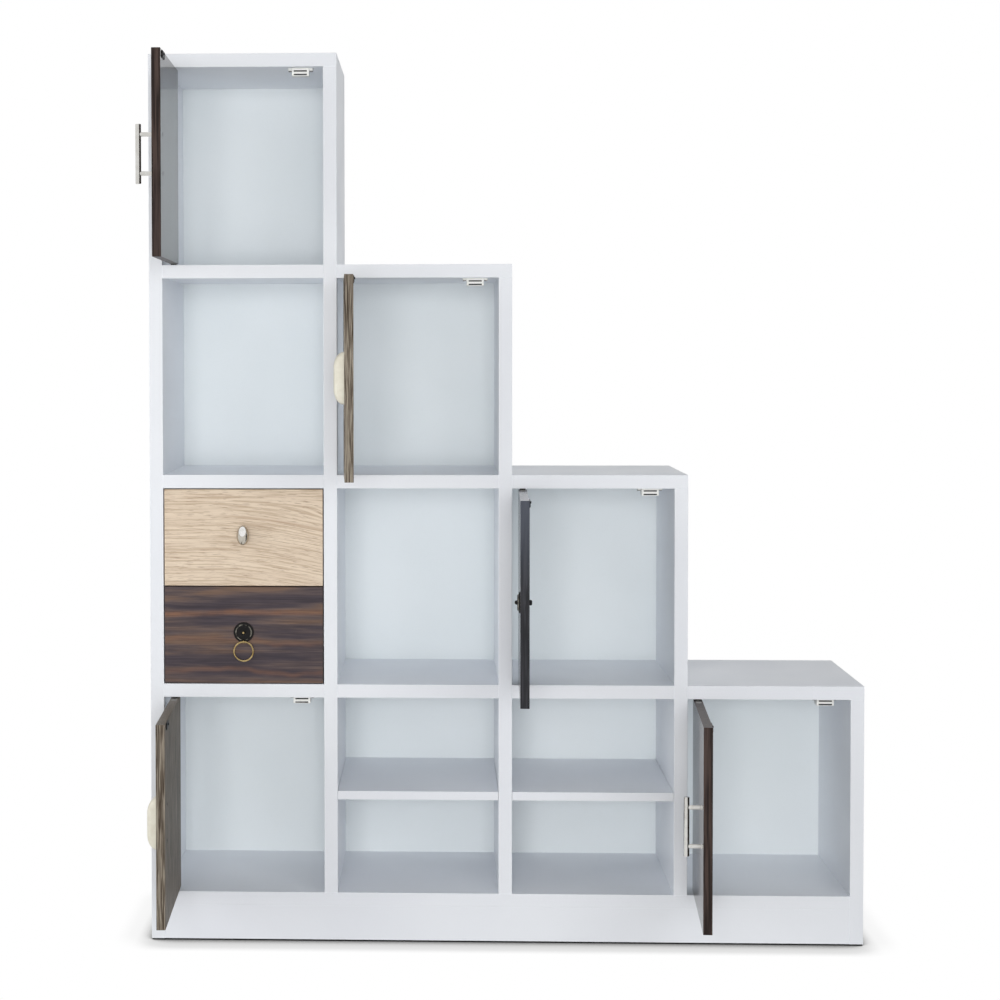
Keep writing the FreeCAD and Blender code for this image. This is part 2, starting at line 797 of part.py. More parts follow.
def write_nodes():
    os.makedirs("parts", exist_ok=True)
    nodes = {}
    for piece in pieces:
        nodes.setdefault(piece.node, []).append(piece.solid)
    for node, solids in nodes.items():
        shape = solids[0] if len(solids) == 1 else Part.makeCompound(solids)
        shape.exportStep("parts/%s.step" % node)
    print(len(nodes), "nodes", len(pieces), "pieces")


make_uprights()
make_bottom()
make_fixed_shelves()
make_tops()
make_plinth()
make_backs()
make_half_shelves()
for door_name in door_cells:
    make_door(door_name)
make_drawers()
write_nodes()
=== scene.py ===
import json
import math

import bmesh
import bpy
from mathutils import Matrix, Vector


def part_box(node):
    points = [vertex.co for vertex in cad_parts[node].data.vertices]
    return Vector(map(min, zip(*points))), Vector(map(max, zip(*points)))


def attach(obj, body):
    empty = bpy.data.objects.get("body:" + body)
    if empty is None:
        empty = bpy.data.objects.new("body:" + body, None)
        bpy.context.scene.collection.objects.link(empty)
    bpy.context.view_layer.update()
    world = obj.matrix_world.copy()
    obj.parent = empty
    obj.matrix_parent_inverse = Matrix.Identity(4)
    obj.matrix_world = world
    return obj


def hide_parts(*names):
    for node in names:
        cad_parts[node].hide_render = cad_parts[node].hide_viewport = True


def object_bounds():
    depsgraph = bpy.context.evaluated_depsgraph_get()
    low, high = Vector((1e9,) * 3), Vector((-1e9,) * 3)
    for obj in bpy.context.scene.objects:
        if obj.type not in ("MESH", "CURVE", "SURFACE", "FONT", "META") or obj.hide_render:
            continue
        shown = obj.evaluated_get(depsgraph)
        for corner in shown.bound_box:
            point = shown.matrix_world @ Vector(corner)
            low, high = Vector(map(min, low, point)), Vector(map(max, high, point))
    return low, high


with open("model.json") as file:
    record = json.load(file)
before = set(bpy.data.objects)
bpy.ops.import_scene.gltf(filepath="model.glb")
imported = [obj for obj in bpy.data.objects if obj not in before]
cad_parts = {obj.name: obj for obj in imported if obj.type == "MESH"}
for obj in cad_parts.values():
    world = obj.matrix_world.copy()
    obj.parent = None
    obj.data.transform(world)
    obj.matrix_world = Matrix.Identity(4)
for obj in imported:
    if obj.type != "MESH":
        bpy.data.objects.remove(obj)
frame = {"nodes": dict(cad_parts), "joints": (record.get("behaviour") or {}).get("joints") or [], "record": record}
cadLow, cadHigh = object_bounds()
print("bookcase frame loaded,", len(frame["nodes"]), "nodes")


# working by hand: one shape at a time, nothing else selected

def clearHands():
    if bpy.context.object and bpy.context.object.mode != "OBJECT":
        bpy.ops.object.mode_set(mode="OBJECT")
    bpy.ops.object.select_all(action="DESELECT")


def startShape(kind, **size):
    clearHands()
    getattr(bpy.ops.mesh, "primitive_" + kind + "_add")(**size)
    bpy.ops.object.transform_apply(location=True, rotation=True, scale=True)  # the place goes into the mesh
    return bpy.context.object


def startBox(low, high):
    return startShape("cube", size=1, location=(low + high) / 2, scale=high - low)


# a round start that stands out from its foot, to the front where its length is below zero
def startRod(foot, radius, length, sides):
    return startShape("cylinder", vertices=sides, radius=radius, depth=abs(length),
                      location=foot + Vector((0, length / 2, 0)), rotation=(math.pi / 2, 0, 0))


def take(piece):
    clearHands()
    piece.select_set(True)
    bpy.context.view_layer.objects.active = piece


def work(piece):
    take(piece)
    bpy.ops.object.mode_set(mode="EDIT")


def choose(piece, kind, wanted):
    bpy.ops.mesh.select_mode(type=kind)
    bpy.ops.mesh.select_all(action="DESELECT")
    mesh = bmesh.from_edit_mesh(piece.data)
    for part in {"VERT": mesh.verts, "EDGE": mesh.edges, "FACE": mesh.faces}[kind]:
        if wanted(part):
            part.select_set(True)
    mesh.select_flush_mode()
    bmesh.update_edit_mesh(piece.data)


def near(a, b, room=0.00002):
    return abs(a - b) < room


def edgeAt(axis, value):
    return lambda edge: all(near(vert.co[axis], value) for vert in edge.verts)


def edgeAlong(axis):
    return lambda edge: not near(edge.verts[0].co[axis], edge.verts[1].co[axis])


def faceAt(axis, value):
    return lambda face: all(near(vert.co[axis], value) for vert in face.verts)


def push(x, y, z):
    bpy.ops.mesh.extrude_region_move(TRANSFORM_OT_translate={"value": (x, y, z)})


def soften(offset, steps):
    bpy.ops.mesh.bevel(offset=offset, segments=steps, profile=0.5, affect="EDGES")


def closeShell(piece):
    work(piece)
    bpy.ops.mesh.select_all(action="SELECT")
    bpy.ops.mesh.remove_doubles(threshold=0.000005)  # points that lie on each other
    bpy.ops.mesh.normals_make_consistent(inside=False)
    clearHands()


def useModifier(piece, kind, **settings):
    take(piece)
    bpy.ops.object.modifier_add(type=kind)
    modifier = piece.modifiers[-1]
    for name, value in settings.items():
        setattr(modifier, name, value)
    bpy.ops.object.modifier_apply(modifier=modifier.name)


def easeEdges(piece, width, angle):
    sharp = math.radians(angle)
    useModifier(piece, "BEVEL", width=width, segments=2, limit_method="ANGLE", angle_limit=sharp)


def coat(piece, finish):
    piece.data.materials.clear()
    piece.data.materials.append(finish)
    return piece


def recoat(piece, index, wanted):
    choose(piece, "FACE", wanted)
    piece.active_material_index = index
    bpy.ops.object.material_slot_assign()


def joinAll(pieces):
    clearHands()
    for piece in pieces:
        piece.select_set(True)
    bpy.context.view_layer.objects.active = pieces[0]
    bpy.ops.object.join()
    return pieces[0]


def copyOf(piece, shift):
    take(piece)
    bpy.ops.object.duplicate(linked=False)  # a copy has a mesh of its own
    copy = bpy.context.object
    copy.location = shift
    bpy.ops.object.transform_apply(location=True, rotation=True, scale=True)
    return copy


def turnPiece(piece, matrix):
    take(piece)
    piece.matrix_world = matrix
    bpy.ops.object.transform_apply(location=True, rotation=True, scale=True)


def handOver(piece, name, body, nodes, smooth=35):
    take(piece)
    bpy.ops.object.shade_smooth_by_angle(angle=math.radians(smooth))
    piece.name = name
    piece.data.name = name
    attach(piece, body)
    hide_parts(*nodes)


# doors are modelled shut, then turned as far as they stand open

doors = ["door_1", "door_2", "door_3", "door_4", "door_5"]


def doorTurn(door):
    hinge = [joint for joint in frame["joints"] if joint["name"] == door + "_hinge"][0]
    pivot = Vector(hinge["pos_m"])
    swing = Matrix.Rotation(math.radians(hinge["range_deg"][0]), 4, "Z")
    return Matrix.Translation(pivot) @ swing @ Matrix.Translation(-pivot)


def shutBox(door, node):
    undo = doorTurn(door).inverted()
    points = [undo @ vert.co for vert in frame["nodes"][node].data.vertices]
    low = Vector([min(point[axis] for point in points) for axis in range(3)])
    high = Vector([max(point[axis] for point in points) for axis in range(3)])
    return low, high


# what several doors have is modelled on the first of them and copied to the others
def onEach(names, *makers):
    home = shutBox(names[0], names[0] + "_panel")[0]
    sets = [[make(names[0]) for make in makers]]
    for name in names[1:]:
        shift = shutBox(name, name + "_panel")[0] - home
        sets.append([copyOf(first, shift) for first in sets[0]])
    return zip(names, sets)


# finishes

def paint(red, green, blue):
    linear = []
    for value in (red / 255, green / 255, blue / 255):
        linear.append(value / 12.92 if value <= 0.04045 else ((value + 0.055) / 1.055) ** 2.4)
    return (*linear, 1)


def newFinish(name):
    finish = bpy.data.materials.new(name)
    finish.use_nodes = True
    return finish


def plug(finish, node, sockets):
    for name, value in sockets.items():
        if isinstance(value, bpy.types.NodeSocket):
            finish.node_tree.links.new(value, node.inputs[name])
        else:
            node.inputs[name].default_value = value


def put(finish, kind, sockets, **settings):
    node = finish.node_tree.nodes.new("ShaderNode" + kind)
    for name, value in settings.items():
        setattr(node, name, value)
    plug(finish, node, sockets)
    return node


def stretched(finish, where, stretch, shift=(0, 0, 0)):
    return put(finish, "Mapping", {"Vector": where, "Location": shift, "Scale": stretch}).outputs["Vector"]


def space(finish, stretch=(1, 1, 1), shift=(0, 0, 0)):
    place = put(finish, "TexCoord", {}).outputs["Object"]
    return stretched(finish, place, stretch, shift)


def cloud(finish, where, scale, detail=3, warp=0):
    sockets = {"Vector": where, "Scale": scale, "Detail": detail, "Distortion": warp}
    return put(finish, "TexNoise", sockets).outputs["Fac"]


def ramp(finish, value, stops):
    node = put(finish, "ValToRGB", {"Fac": value})
    marks = node.color_ramp.elements
    marks[0].position, marks[0].color = stops[0]
    marks[1].position, marks[1].color = stops[-1]
    for position, colour in stops[1:-1]:
        marks.new(position).color = colour
    return node.outputs["Color"]


def span(finish, value, low, high, start=0, end=1, smooth=False):
    sockets = {"Value": value, "From Min": low, "From Max": high, "To Min": start, "To Max": end}
    kind = "SMOOTHSTEP" if smooth else "LINEAR"
    return put(finish, "MapRange", sockets, interpolation_type=kind).outputs["Result"]


def sums(finish, kind, a, b):
    return put(finish, "Math", {0: a, 1: b}, operation=kind).outputs["Value"]


def lay(finish, kind, amount, under, over):
    node = put(finish, "Mix", {0: amount, 6: under, 7: over}, data_type="RGBA", blend_type=kind)
    return node.outputs[2]


# how far a rounded edge leans away from the flat face shows where it is worn
wornTurn = (1.0, 0.75)


def edgeMark(finish, radius, strength):
    rounded = put(finish, "Bevel", {"Radius": radius}, samples=4).outputs["Normal"]
    flat = put(finish, "NewGeometry", {}).outputs["Normal"]
    turn = put(finish, "VectorMath", {0: rounded, 1: flat}, operation="DOT_PRODUCT").outputs["Value"]
    return span(finish, turn, *wornTurn, 0, strength)


def facing(finish, axis):
    normal = put(finish, "TexCoord", {}).outputs["Normal"]
    return put(finish, "SeparateXYZ", {0: normal}).outputs[axis]


def bump(finish, height, strength, distance):
    sockets = {"Height": height, "Strength": strength, "Distance": distance}
    return put(finish, "Bump", sockets).outputs["Normal"]


def shade(finish, tone, rough, relief, more):
    sockets = {"Base Color": tone, "Roughness": rough, "Normal": relief, **more}
    plug(finish, finish.node_tree.nodes["Principled BSDF"], sockets)


white = (1, 1, 1, 1)

# white boards: melamine with a fine peel, a soft drift of tone and slightly rubbed edges
whiteLooks = {
    "white_board": {"colour": paint(241, 244, 249), "drift": paint(237, 240, 246),
                    "edge": paint(240, 242, 246), "front": paint(222, 224, 228),
                    "frontDrift": paint(218, 220, 225), "rough": (0.36, 0.5), "peel": 1100, "depth": 0.00010},
    "white_back": {"colour": paint(234, 239, 241), "drift": paint(229, 235, 237),
                   "edge": paint(222, 228, 232), "rough": (0.42, 0.56), "peel": 420, "depth": 0.00016},
    "drawer_board": {"colour": paint(222, 222, 220), "drift": paint(214, 214, 212),
                     "edge": paint(196, 190, 180), "rough": (0.4, 0.54), "peel": 900, "depth": 0.00010},
    "rail_steel": {"colour": paint(222, 222, 219), "drift": paint(214, 214, 212),
                   "edge": paint(188, 188, 186), "rough": (0.34, 0.5), "peel": 2200, "depth": 0.00020},
    "white_plastic": {"colour": paint(238, 238, 234), "drift": paint(230, 230, 226),
                      "edge": paint(244, 244, 242), "rough": (0.32, 0.42), "peel": 1600, "depth": 0.00006},
}
# how a finish is laid, alike on all boards
whiteLay = {"driftScale": 2.6, "driftAt": (0.34, 0.62), "frontTurn": (-0.7, -0.95), "speckScale": 760,
            "speckAt": (0.28, 0.4), "speckTone": (0.9, 0.9, 0.9, 1), "speckAmount": 0.5, "edgeRadius": 0.0012,
            "edgeAmount": 0.6, "roughScale": 9, "roughAt": (0.3, 0.7), "relief": 0.35, "gloss": 0.4}


def whiteFinish(name):
    look, rule = whiteLooks[name], whiteLay
    finish = newFinish(name)
    where = space(finish)
    slow = cloud(finish, where, rule["driftScale"], detail=4)
    darkAt, paleAt = rule["driftAt"]
    tone = ramp(finish, slow, [(darkAt, look["drift"]), (paleAt, look["colour"])])
    if "front" in look:  # faces turned to the front are a shade greyer
        band = ramp(finish, slow, [(darkAt, look["frontDrift"]), (paleAt, look["front"])])
        tone = lay(finish, "MIX", span(finish, facing(finish, "Y"), *rule["frontTurn"]), tone, band)
    speckAt, clearAt = rule["speckAt"]
    specks = cloud(finish, where, rule["speckScale"], detail=2)
    specks = ramp(finish, specks, [(speckAt, rule["speckTone"]), (clearAt, white)])
    tone = lay(finish, "MULTIPLY", rule["speckAmount"], tone, specks)
    tone = lay(finish, "MIX", edgeMark(finish, rule["edgeRadius"], rule["edgeAmount"]), tone, look["edge"])
    rough = span(finish, cloud(finish, where, rule["roughScale"], detail=4), *rule["roughAt"], *look["rough"])
    relief = bump(finish, cloud(finish, where, look["peel"], detail=2), rule["relief"], look["depth"])
    shade(finish, tone, rough, relief, {"Specular IOR Level": rule["gloss"]})
    return finish


# door woods: upright grain in fine broken lines and slow broad streaks
# rough is for the faces, the tops and the edges
woodLooks = {
    "dark_wenge": {"dark": paint(38, 29, 26), "mid": paint(57, 46, 43), "light": paint(72, 59, 54),
                   "shade": (0.68, 0.66, 0.66, 1), "pore": paint(24, 16, 14), "edge": paint(80, 66, 60),
                   "streak": 34, "fine": 230, "fibre": 700, "rough": (0.1, 0.4, 0.45),
                   "stretch": (1, 1, 0.04)},
    "grey_oak": {"dark": paint(62, 52, 43), "mid": paint(112, 102, 90), "light": paint(156, 147, 133),
                 "shade": (0.78, 0.76, 0.75, 1), "pore": paint(50, 40, 32), "edge": paint(140, 128, 112),
                 "streak": 160, "fine": 900, "fibre": 1500, "rough": (0.5, 0.42, 0.5),
                 "stretch": (1, 1, 0.022)},
    # charcoal: its last colour is a painted reflection that lightens and blues the upper half of the panel
    "charcoal": {"dark": paint(38, 38, 41), "mid": paint(47, 47, 50), "light": paint(57, 57, 61),
                 "shade": (0.8, 0.8, 0.82, 1), "pore": paint(26, 26, 28), "edge": paint(76, 76, 80),
                 "streak": 40, "fine": 280, "fibre": 700, "rough": (0.12, 0.12, 0.42),
                 "stretch": (1, 1, 0.05), "paintedReflection": paint(84, 88, 99)},
    "beech": {"dark": paint(178, 140, 102), "mid": paint(200, 164, 124), "light": paint(214, 182, 144),
              "shade": (0.86, 0.84, 0.82, 1), "pore": paint(150, 112, 78), "edge": paint(206, 174, 136),
              "streak": 90, "fine": 300, "fibre": 800, "rough": (0.6, 0.6, 0.6), "stretch": (0.1, 1, 1)},
}
# alike on all door woods
woodLay = {"toneAt": (0.4, 0.5, 0.6), "streakAt": (0.36, 0.58), "streakAmount": 0.8, "fibreAt": (0.3, 0.6),
           "fibreTone": (0.72, 0.7, 0.68, 1), "fibreAmount": 0.6, "poreScale": 380, "poreShift": (3, 1, 2),
           "poreAt": (0.33, 0.26), "poreAmount": 0.6, "paintedReflectionAmount": 0.6, "edgeRadius": 0.0009,
           "edgeAmount": 0.25, "turnedAt": (0.5, 0.9), "roughAt": (0.3, 0.7), "roughDrift": (-0.03, 0.05),
           "relief": 0.1, "depth": 0.0001, "gloss": 0.15}


def woodFinish(name):
    look, rule = woodLooks[name], woodLay
    finish = newFinish(name)
    where = space(finish, look["stretch"])
    fine = cloud(finish, where, look["fine"], detail=4, warp=0.2)
    tone = ramp(finish, fine, list(zip(rule["toneAt"], (look["dark"], look["mid"], look["light"]))))
    streak = cloud(finish, where, look["streak"], detail=4, warp=0.3)
    streak = ramp(finish, streak, list(zip(rule["streakAt"], (look["shade"], white))))
    tone = lay(finish, "MULTIPLY", rule["streakAmount"], tone, streak)
    fibre = cloud(finish, where, look["fibre"], detail=3)
    threads = ramp(finish, fibre, list(zip(rule["fibreAt"], (rule["fibreTone"], white))))
    tone = lay(finish, "MULTIPLY", rule["fibreAmount"], tone, threads)
    elsewhere = space(finish, look["stretch"], rule["poreShift"])
    pores = span(finish, cloud(finish, elsewhere, rule["poreScale"], detail=1), *rule["poreAt"])
    tone = lay(finish, "MIX", sums(finish, "MULTIPLY", pores, rule["poreAmount"]), tone, look["pore"])
    if "paintedReflection" in look:  # painted reflection: the upper half is lighter and bluish, standing in for a reflection
        low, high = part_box("door_3_panel")
        height = put(finish, "SeparateXYZ", {0: space(finish)}).outputs["Z"]
        paintedReflection = span(finish, height, (low.z + high.z) / 2, high.z, 0, rule["paintedReflectionAmount"], smooth=True)
        tone = lay(finish, "MIX", paintedReflection, tone, look["paintedReflection"])
    tone = lay(finish, "MIX", edgeMark(finish, rule["edgeRadius"], rule["edgeAmount"]), tone, look["edge"])
    faceRough, topRough, rough = look["rough"]
    for axis, change in (("X", faceRough - rough), ("Z", topRough - rough)):
        turned = sums(finish, "ABSOLUTE", facing(finish, axis), 0)
        rough = sums(finish, "ADD", span(finish, turned, *rule["turnedAt"], 0, change), rough)
    rough = sums(finish, "ADD", rough, span(finish, fibre, *rule["roughAt"], *rule["roughDrift"]))
    relief = bump(finish, sums(finish, "SUBTRACT", fibre, pores), rule["relief"], rule["depth"])
    shade(finish, tone, rough, relief, {"Specular IOR Level": rule["gloss"]})
    return finish


# upper drawer: pale oak, dense level grain that bends down towards the right, with one long darker streak
oakLook = {"base": paint(216, 199, 178), "warm": paint(207, 189, 168), "line": paint(176, 154, 131),
           "dash": paint(140, 116, 97), "streak": paint(172, 146, 123), "edge": paint(186, 164, 140),
           "bend": 0.026, "bendStart": 0.05, "bendPower": 1.6, "calmTop": 0.01, "calmEnd": 0.03, "calm": 0.1,
           "level": (0.02, 1, 1), "wideScale": 60, "wideAt": (0.36, 0.58),
           "lineScale": 640, "lineAt": (0.48, 0.6), "lineAmount": 0.7,
           "short": (0.06, 1, 1), "shortShift": (2, 0, 5),
           "dashScale": 780, "dashAt": (0.42, 0.33), "dashAmount": 0.55,
           "streakDrop": 0.05, "streakHalf": 0.005, "streakCore": 0.0005, "streakAmount": 0.55,
           "streakFade": 0.08, "waveScale": 90, "waveAt": (0.3, 0.7), "wave": 0.003,
           "edgeRadius": 0.001, "edgeAmount": 0.4, "rough": (0.45, 0.58), "relief": -0.2,
           "depth": 0.00012, "gloss": 0.2}


def oakFinish(name):
    look = oakLook
    low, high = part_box("drawer_upper_front")
    middle = (low + high) / 2
    finish = newFinish(name)
    place = put(finish, "TexCoord", {}).outputs["Object"]
    axes = put(finish, "SeparateXYZ", {0: place})
    across = span(finish, axes.outputs["X"], middle.x - look["bendStart"], high.x, 0, 1)
    across = sums(finish, "POWER", across, look["bendPower"])
    calmTop, calmEnd = high.z - look["calmTop"], middle.z + look["calmEnd"]
    depth = span(finish, axes.outputs["Z"], calmTop, calmEnd, look["calm"], 1, smooth=True)
    drop = sums(finish, "MULTIPLY", sums(finish, "MULTIPLY", across, depth), look["bend"])
    bent = sums(finish, "ADD", axes.outputs["Z"], drop)
    where = put(finish, "CombineXYZ", {0: axes.outputs["X"], 1: axes.outputs["Y"], 2: bent}).outputs[0]
    level = stretched(finish, where, look["level"])
    wide = cloud(finish, level, look["wideScale"], detail=4, warp=0.2)
    tone = ramp(finish, wide, list(zip(look["wideAt"], (look["warm"], look["base"]))))
    lines = span(finish, cloud(finish, level, look["lineScale"], detail=3, warp=0.1), *look["lineAt"])
    tone = lay(finish, "MIX", sums(finish, "MULTIPLY", lines, look["lineAmount"]), tone, look["line"])
    short = stretched(finish, where, look["short"], look["shortShift"])
    dash = span(finish, cloud(finish, short, look["dashScale"], detail=2), *look["dashAt"])
    tone = lay(finish, "MIX", sums(finish, "MULTIPLY", dash, look["dashAmount"]), tone, look["dash"])
    away = sums(finish, "SUBTRACT", bent, high.z - look["streakDrop"])
    wave = cloud(finish, level, look["waveScale"], detail=2)
    wave = span(finish, wave, *look["waveAt"], -look["wave"], look["wave"])
    away = sums(finish, "ABSOLUTE", sums(finish, "ADD", away, wave), 0)
    streak = span(finish, away, look["streakHalf"], look["streakCore"], 0, look["streakAmount"], smooth=True)
    begin = span(finish, axes.outputs["X"], middle.x - look["streakFade"], middle.x, 0, 1, smooth=True)
    tone = lay(finish, "MIX", sums(finish, "MULTIPLY", streak, begin), tone, look["streak"])
    tone = lay(finish, "MIX", edgeMark(finish, look["edgeRadius"], look["edgeAmount"]), tone, look["edge"])
    rough = span(finish, lines, 0, 1, *look["rough"])
    relief = bump(finish, sums(finish, "ADD", lines, dash), look["relief"], look["depth"])
    shade(finish, tone, rough, relief, {"Specular IOR Level": look["gloss"]})
    return finish


# lower drawer: dark walnut with wavy bands, each a share of the height below the top
walnutLook = {"dark": paint(70, 62, 67), "mid": paint(93, 80, 78), "light": paint(113, 91, 78),
              "patch": (0.08, 1, 1), "patchShift": (4, 0, 1), "patchScale": 58, "patchAt": (0.38, 0.5, 0.62),
              "row": (0.035, 1, 1), "rowScale": 260, "rowAt": (0.36, 0.6), "rowTone": (0.66, 0.66, 0.7, 1),
              "rowAmount": 0.6, "thread": (0.03, 1, 1), "threadScale": 640, "threadAt": (0.36, 0.58),
              "threadTone": (0.62, 0.62, 0.64, 1), "threadAmount": 0.7, "edge": paint(40, 33, 32),
              "along": (1, 0.01, 0.3), "wanderScale": 9, "wanderAt": (0.25, 0.75),
              "fadeScale": 17, "fadeAt": (0.3, 0.62), "fadeLeast": 0.2,
              "edgeRadius": 0.001, "edgeAmount": 0.5, "roughAt": (0.3, 0.7), "rough": (0.34, 0.46),
              "relief": 0.15, "depth": 0.00012, "gloss": 0.2}
rust, plum = paint(118, 86, 70), paint(56, 51, 58)
walnutBands = [
    {"drop": 0.27, "half": 0.0085, "amount": 0.75, "colour": paint(132, 94, 72), "wave": 0.003, "shift": 0},
    {"drop": 0.58, "half": 0.0080, "amount": 0.5, "colour": rust, "wave": 0.012, "shift": 4},
    {"drop": 0.73, "half": 0.0100, "amount": 0.6, "colour": plum, "wave": 0.014, "shift": 9},
    {"drop": 0.87, "half": 0.0080, "amount": 0.5, "colour": rust, "wave": 0.010, "shift": 14}]


def walnutFinish(name):
    look = walnutLook
    low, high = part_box("drawer_lower_front")
    finish = newFinish(name)
    place = put(finish, "TexCoord", {}).outputs["Object"]
    axes = put(finish, "SeparateXYZ", {0: place})
    wide = stretched(finish, place, look["patch"], look["patchShift"])
    patches = cloud(finish, wide, look["patchScale"], detail=5, warp=0.3)
    tone = ramp(finish, patches, list(zip(look["patchAt"], (look["dark"], look["mid"], look["light"]))))
    rows = cloud(finish, stretched(finish, place, look["row"]), look["rowScale"], detail=4, warp=0.3)
    rows = ramp(finish, rows, list(zip(look["rowAt"], (look["rowTone"], white))))
    tone = lay(finish, "MULTIPLY", look["rowAmount"], tone, rows)
    for band in walnutBands:
        along = space(finish, look["along"], (band["shift"], 0, 0))
        wander = cloud(finish, along, look["wanderScale"], detail=2)
        wander = span(finish, wander, *look["wanderAt"], -band["wave"], band["wave"])
        centre = high.z - (high.z - low.z) * band["drop"]
        away = sums(finish, "SUBTRACT", sums(finish, "ADD", axes.outputs["Z"], wander), centre)
        away = sums(finish, "ABSOLUTE", away, 0)
        fade = cloud(finish, along, look["fadeScale"], detail=3)
        fade = span(finish, fade, *look["fadeAt"], look["fadeLeast"], band["amount"])
        mark = sums(finish, "MULTIPLY", span(finish, away, band["half"], 0, 0, 1, smooth=True), fade)
        tone = lay(finish, "MIX", mark, tone, band["colour"])
    threads = cloud(finish, stretched(finish, place, look["thread"]), look["threadScale"], detail=3, warp=0.2)
    shadow = ramp(finish, threads, list(zip(look["threadAt"], (look["threadTone"], white))))
    tone = lay(finish, "MULTIPLY", look["threadAmount"], tone, shadow)
    tone = lay(finish, "MIX", edgeMark(finish, look["edgeRadius"], look["edgeAmount"]), tone, look["edge"])
    rough = span(finish, threads, *look["roughAt"], *look["rough"])
    relief = bump(finish, threads, look["relief"], look["depth"])
    shade(finish, tone, rough, relief, {"Specular IOR Level": look["gloss"]})
    return finish


# metals: brushed lines, faint blotches and edges rubbed bright
metalLooks = {
    "satin_nickel": {"colour": paint(213, 212, 208), "dull": paint(203, 201, 196),
                     "edge": paint(226, 225, 222), "rough": (0.22, 0.28), "brush": (1, 1, 0.03),
                     "lines": 1900, "metal": 1.0},
    "knob_nickel": {"colour": paint(196, 191, 181), "dull": paint(186, 180, 169),
                    "edge": paint(214, 211, 203), "rough": (0.2, 0.26), "brush": (1, 1, 1),
                    "lines": 1500, "metal": 1.0},
    # painted highlight: a paler copy of the knob's nickel, for its facet
    "facet_nickel": {"colour": paint(233, 232, 230), "dull": paint(224, 223, 220),
                     "edge": paint(238, 236, 230), "rough": (0.2, 0.26), "brush": (1, 1, 1),
                     "lines": 1500, "metal": 1.0},
    "champagne": {"colour": paint(222, 218, 203), "dull": paint(214, 209, 193), "edge": paint(234, 230, 217),
                  "rough": (0.3, 0.4), "brush": (1, 1, 0.04), "lines": 1500, "metal": 0.3},
    "nickel": {"colour": paint(152, 150, 146), "dull": paint(132, 130, 126), "edge": paint(190, 188, 184),
               "rough": (0.36, 0.46), "brush": (0.2, 1, 1), "lines": 1400, "metal": 1.0},
    "antique_brass": {"colour": paint(190, 168, 120), "dull": paint(152, 128, 84),
                      "edge": paint(212, 192, 148), "rough": (0.2, 0.34), "brush": (1, 1, 1),
                      "lines": 900, "metal": 1.0},
}
# alike on all metals
metalLay = {"blotchScale": 90, "blotchAt": (0.36, 0.58), "edgeRadius": 0.0006, "edgeAmount": 0.7,
            "roughAt": (0.6, 1.4), "relief": 0.06, "depth": 0.00003}


def metalFinish(name):
    look, rule = metalLooks[name], metalLay
    finish = newFinish(name)
    blotch = cloud(finish, space(finish), rule["blotchScale"], detail=4)
    tone = ramp(finish, blotch, list(zip(rule["blotchAt"], (look["dull"], look["colour"]))))
    tone = lay(finish, "MIX", edgeMark(finish, rule["edgeRadius"], rule["edgeAmount"]), tone, look["edge"])
    lines = cloud(finish, space(finish, look["brush"]), look["lines"], detail=2)
    rough = span(finish, sums(finish, "ADD", lines, blotch), *rule["roughAt"], *look["rough"])
    relief = bump(finish, lines, rule["relief"], rule["depth"])
    shade(finish, tone, rough, relief, {"Metallic": look["metal"]})
    return finish


# dark pieces: black enamel rubbed through at the rims and given a painted highlight there, oxide steel and moulded
# plastic
darkLooks = {
    # black_metal: its pale rims are partly wear and partly a painted highlight on the rosette's bevels
    "black_metal": {"colour": paint(14, 13, 13), "drift": paint(22, 21, 20), "edge": paint(116, 110, 96),
                    "rough": (0.12, 0.2), "grain": 700, "depth": 0.00002, "rubAndGlint": 0.6},
    # painted highlight: black with pale blotches, laid on the rosette's slope
    "rubbed_black": {"colour": paint(22, 21, 20), "drift": paint(150, 146, 135), "edge": paint(150, 146, 134),
                     "rough": (0.16, 0.26), "grain": 900, "depth": 0.00002, "rubAndGlint": 0.4},
    "dark_steel": {"colour": paint(14, 14, 15), "drift": paint(22, 22, 23), "edge": paint(52, 52, 54),
                   "rough": (0.34, 0.46), "grain": 1200, "depth": 0.00005, "rubAndGlint": 0.4},
    "black_plastic": {"colour": paint(22, 22, 23), "drift": paint(32, 32, 33), "edge": paint(50, 50, 52),
                      "rough": (0.5, 0.66), "grain": 1500, "depth": 0.00012, "rubAndGlint": 0.3},
}
# alike on all dark pieces
darkLay = {"driftScale": 120, "driftAt": (0.38, 0.66), "edgeRadius": 0.0007, "roughAt": (0.3, 0.7),
           "relief": 0.25, "gloss": 0.16}


def darkFinish(name):
    look, rule = darkLooks[name], darkLay
    finish = newFinish(name)
    where = space(finish)
    drift = cloud(finish, where, rule["driftScale"], detail=4)
    tone = ramp(finish, drift, list(zip(rule["driftAt"], (look["colour"], look["drift"]))))
    tone = lay(finish, "MIX", edgeMark(finish, rule["edgeRadius"], look["rubAndGlint"]), tone, look["edge"])
    grain = cloud(finish, where, look["grain"], detail=2)
    rough = span(finish, grain, *rule["roughAt"], *look["rough"])
    relief = bump(finish, grain, rule["relief"], look["depth"])
    shade(finish, tone, rough, relief, {"Specular IOR Level": rule["gloss"]})
    return finish


finishes = {}
for looks, layer in ((whiteLooks, whiteFinish), (woodLooks, woodFinish),
                     (metalLooks, metalFinish), (darkLooks, darkFinish)):
    for name in looks:
        finishes[name] = layer(name)
finishes["pale_oak"] = oakFinish("pale_oak")
finishes["streaked_walnut"] = walnutFinish("streaked_walnut")

for part in frame["record"]["subparts"]:
    coat(frame["nodes"][part["node"]], finishes[part["material_slot"]])
coat(frame["nodes"]["catch_poles"], finishes["dark_steel"])  # painted shade: the poles are coated dark steel so that they read black in their slots
print("finishes laid on,", len(finishes), "of them")


# a bolt or screw head on a panel's inner face, domed, with a socket; shares of its height and radius
boltHead = {"dome": 0.55, "socketRim": 0.18, "socketDepth": 0.45, "socketTaper": 0.8}


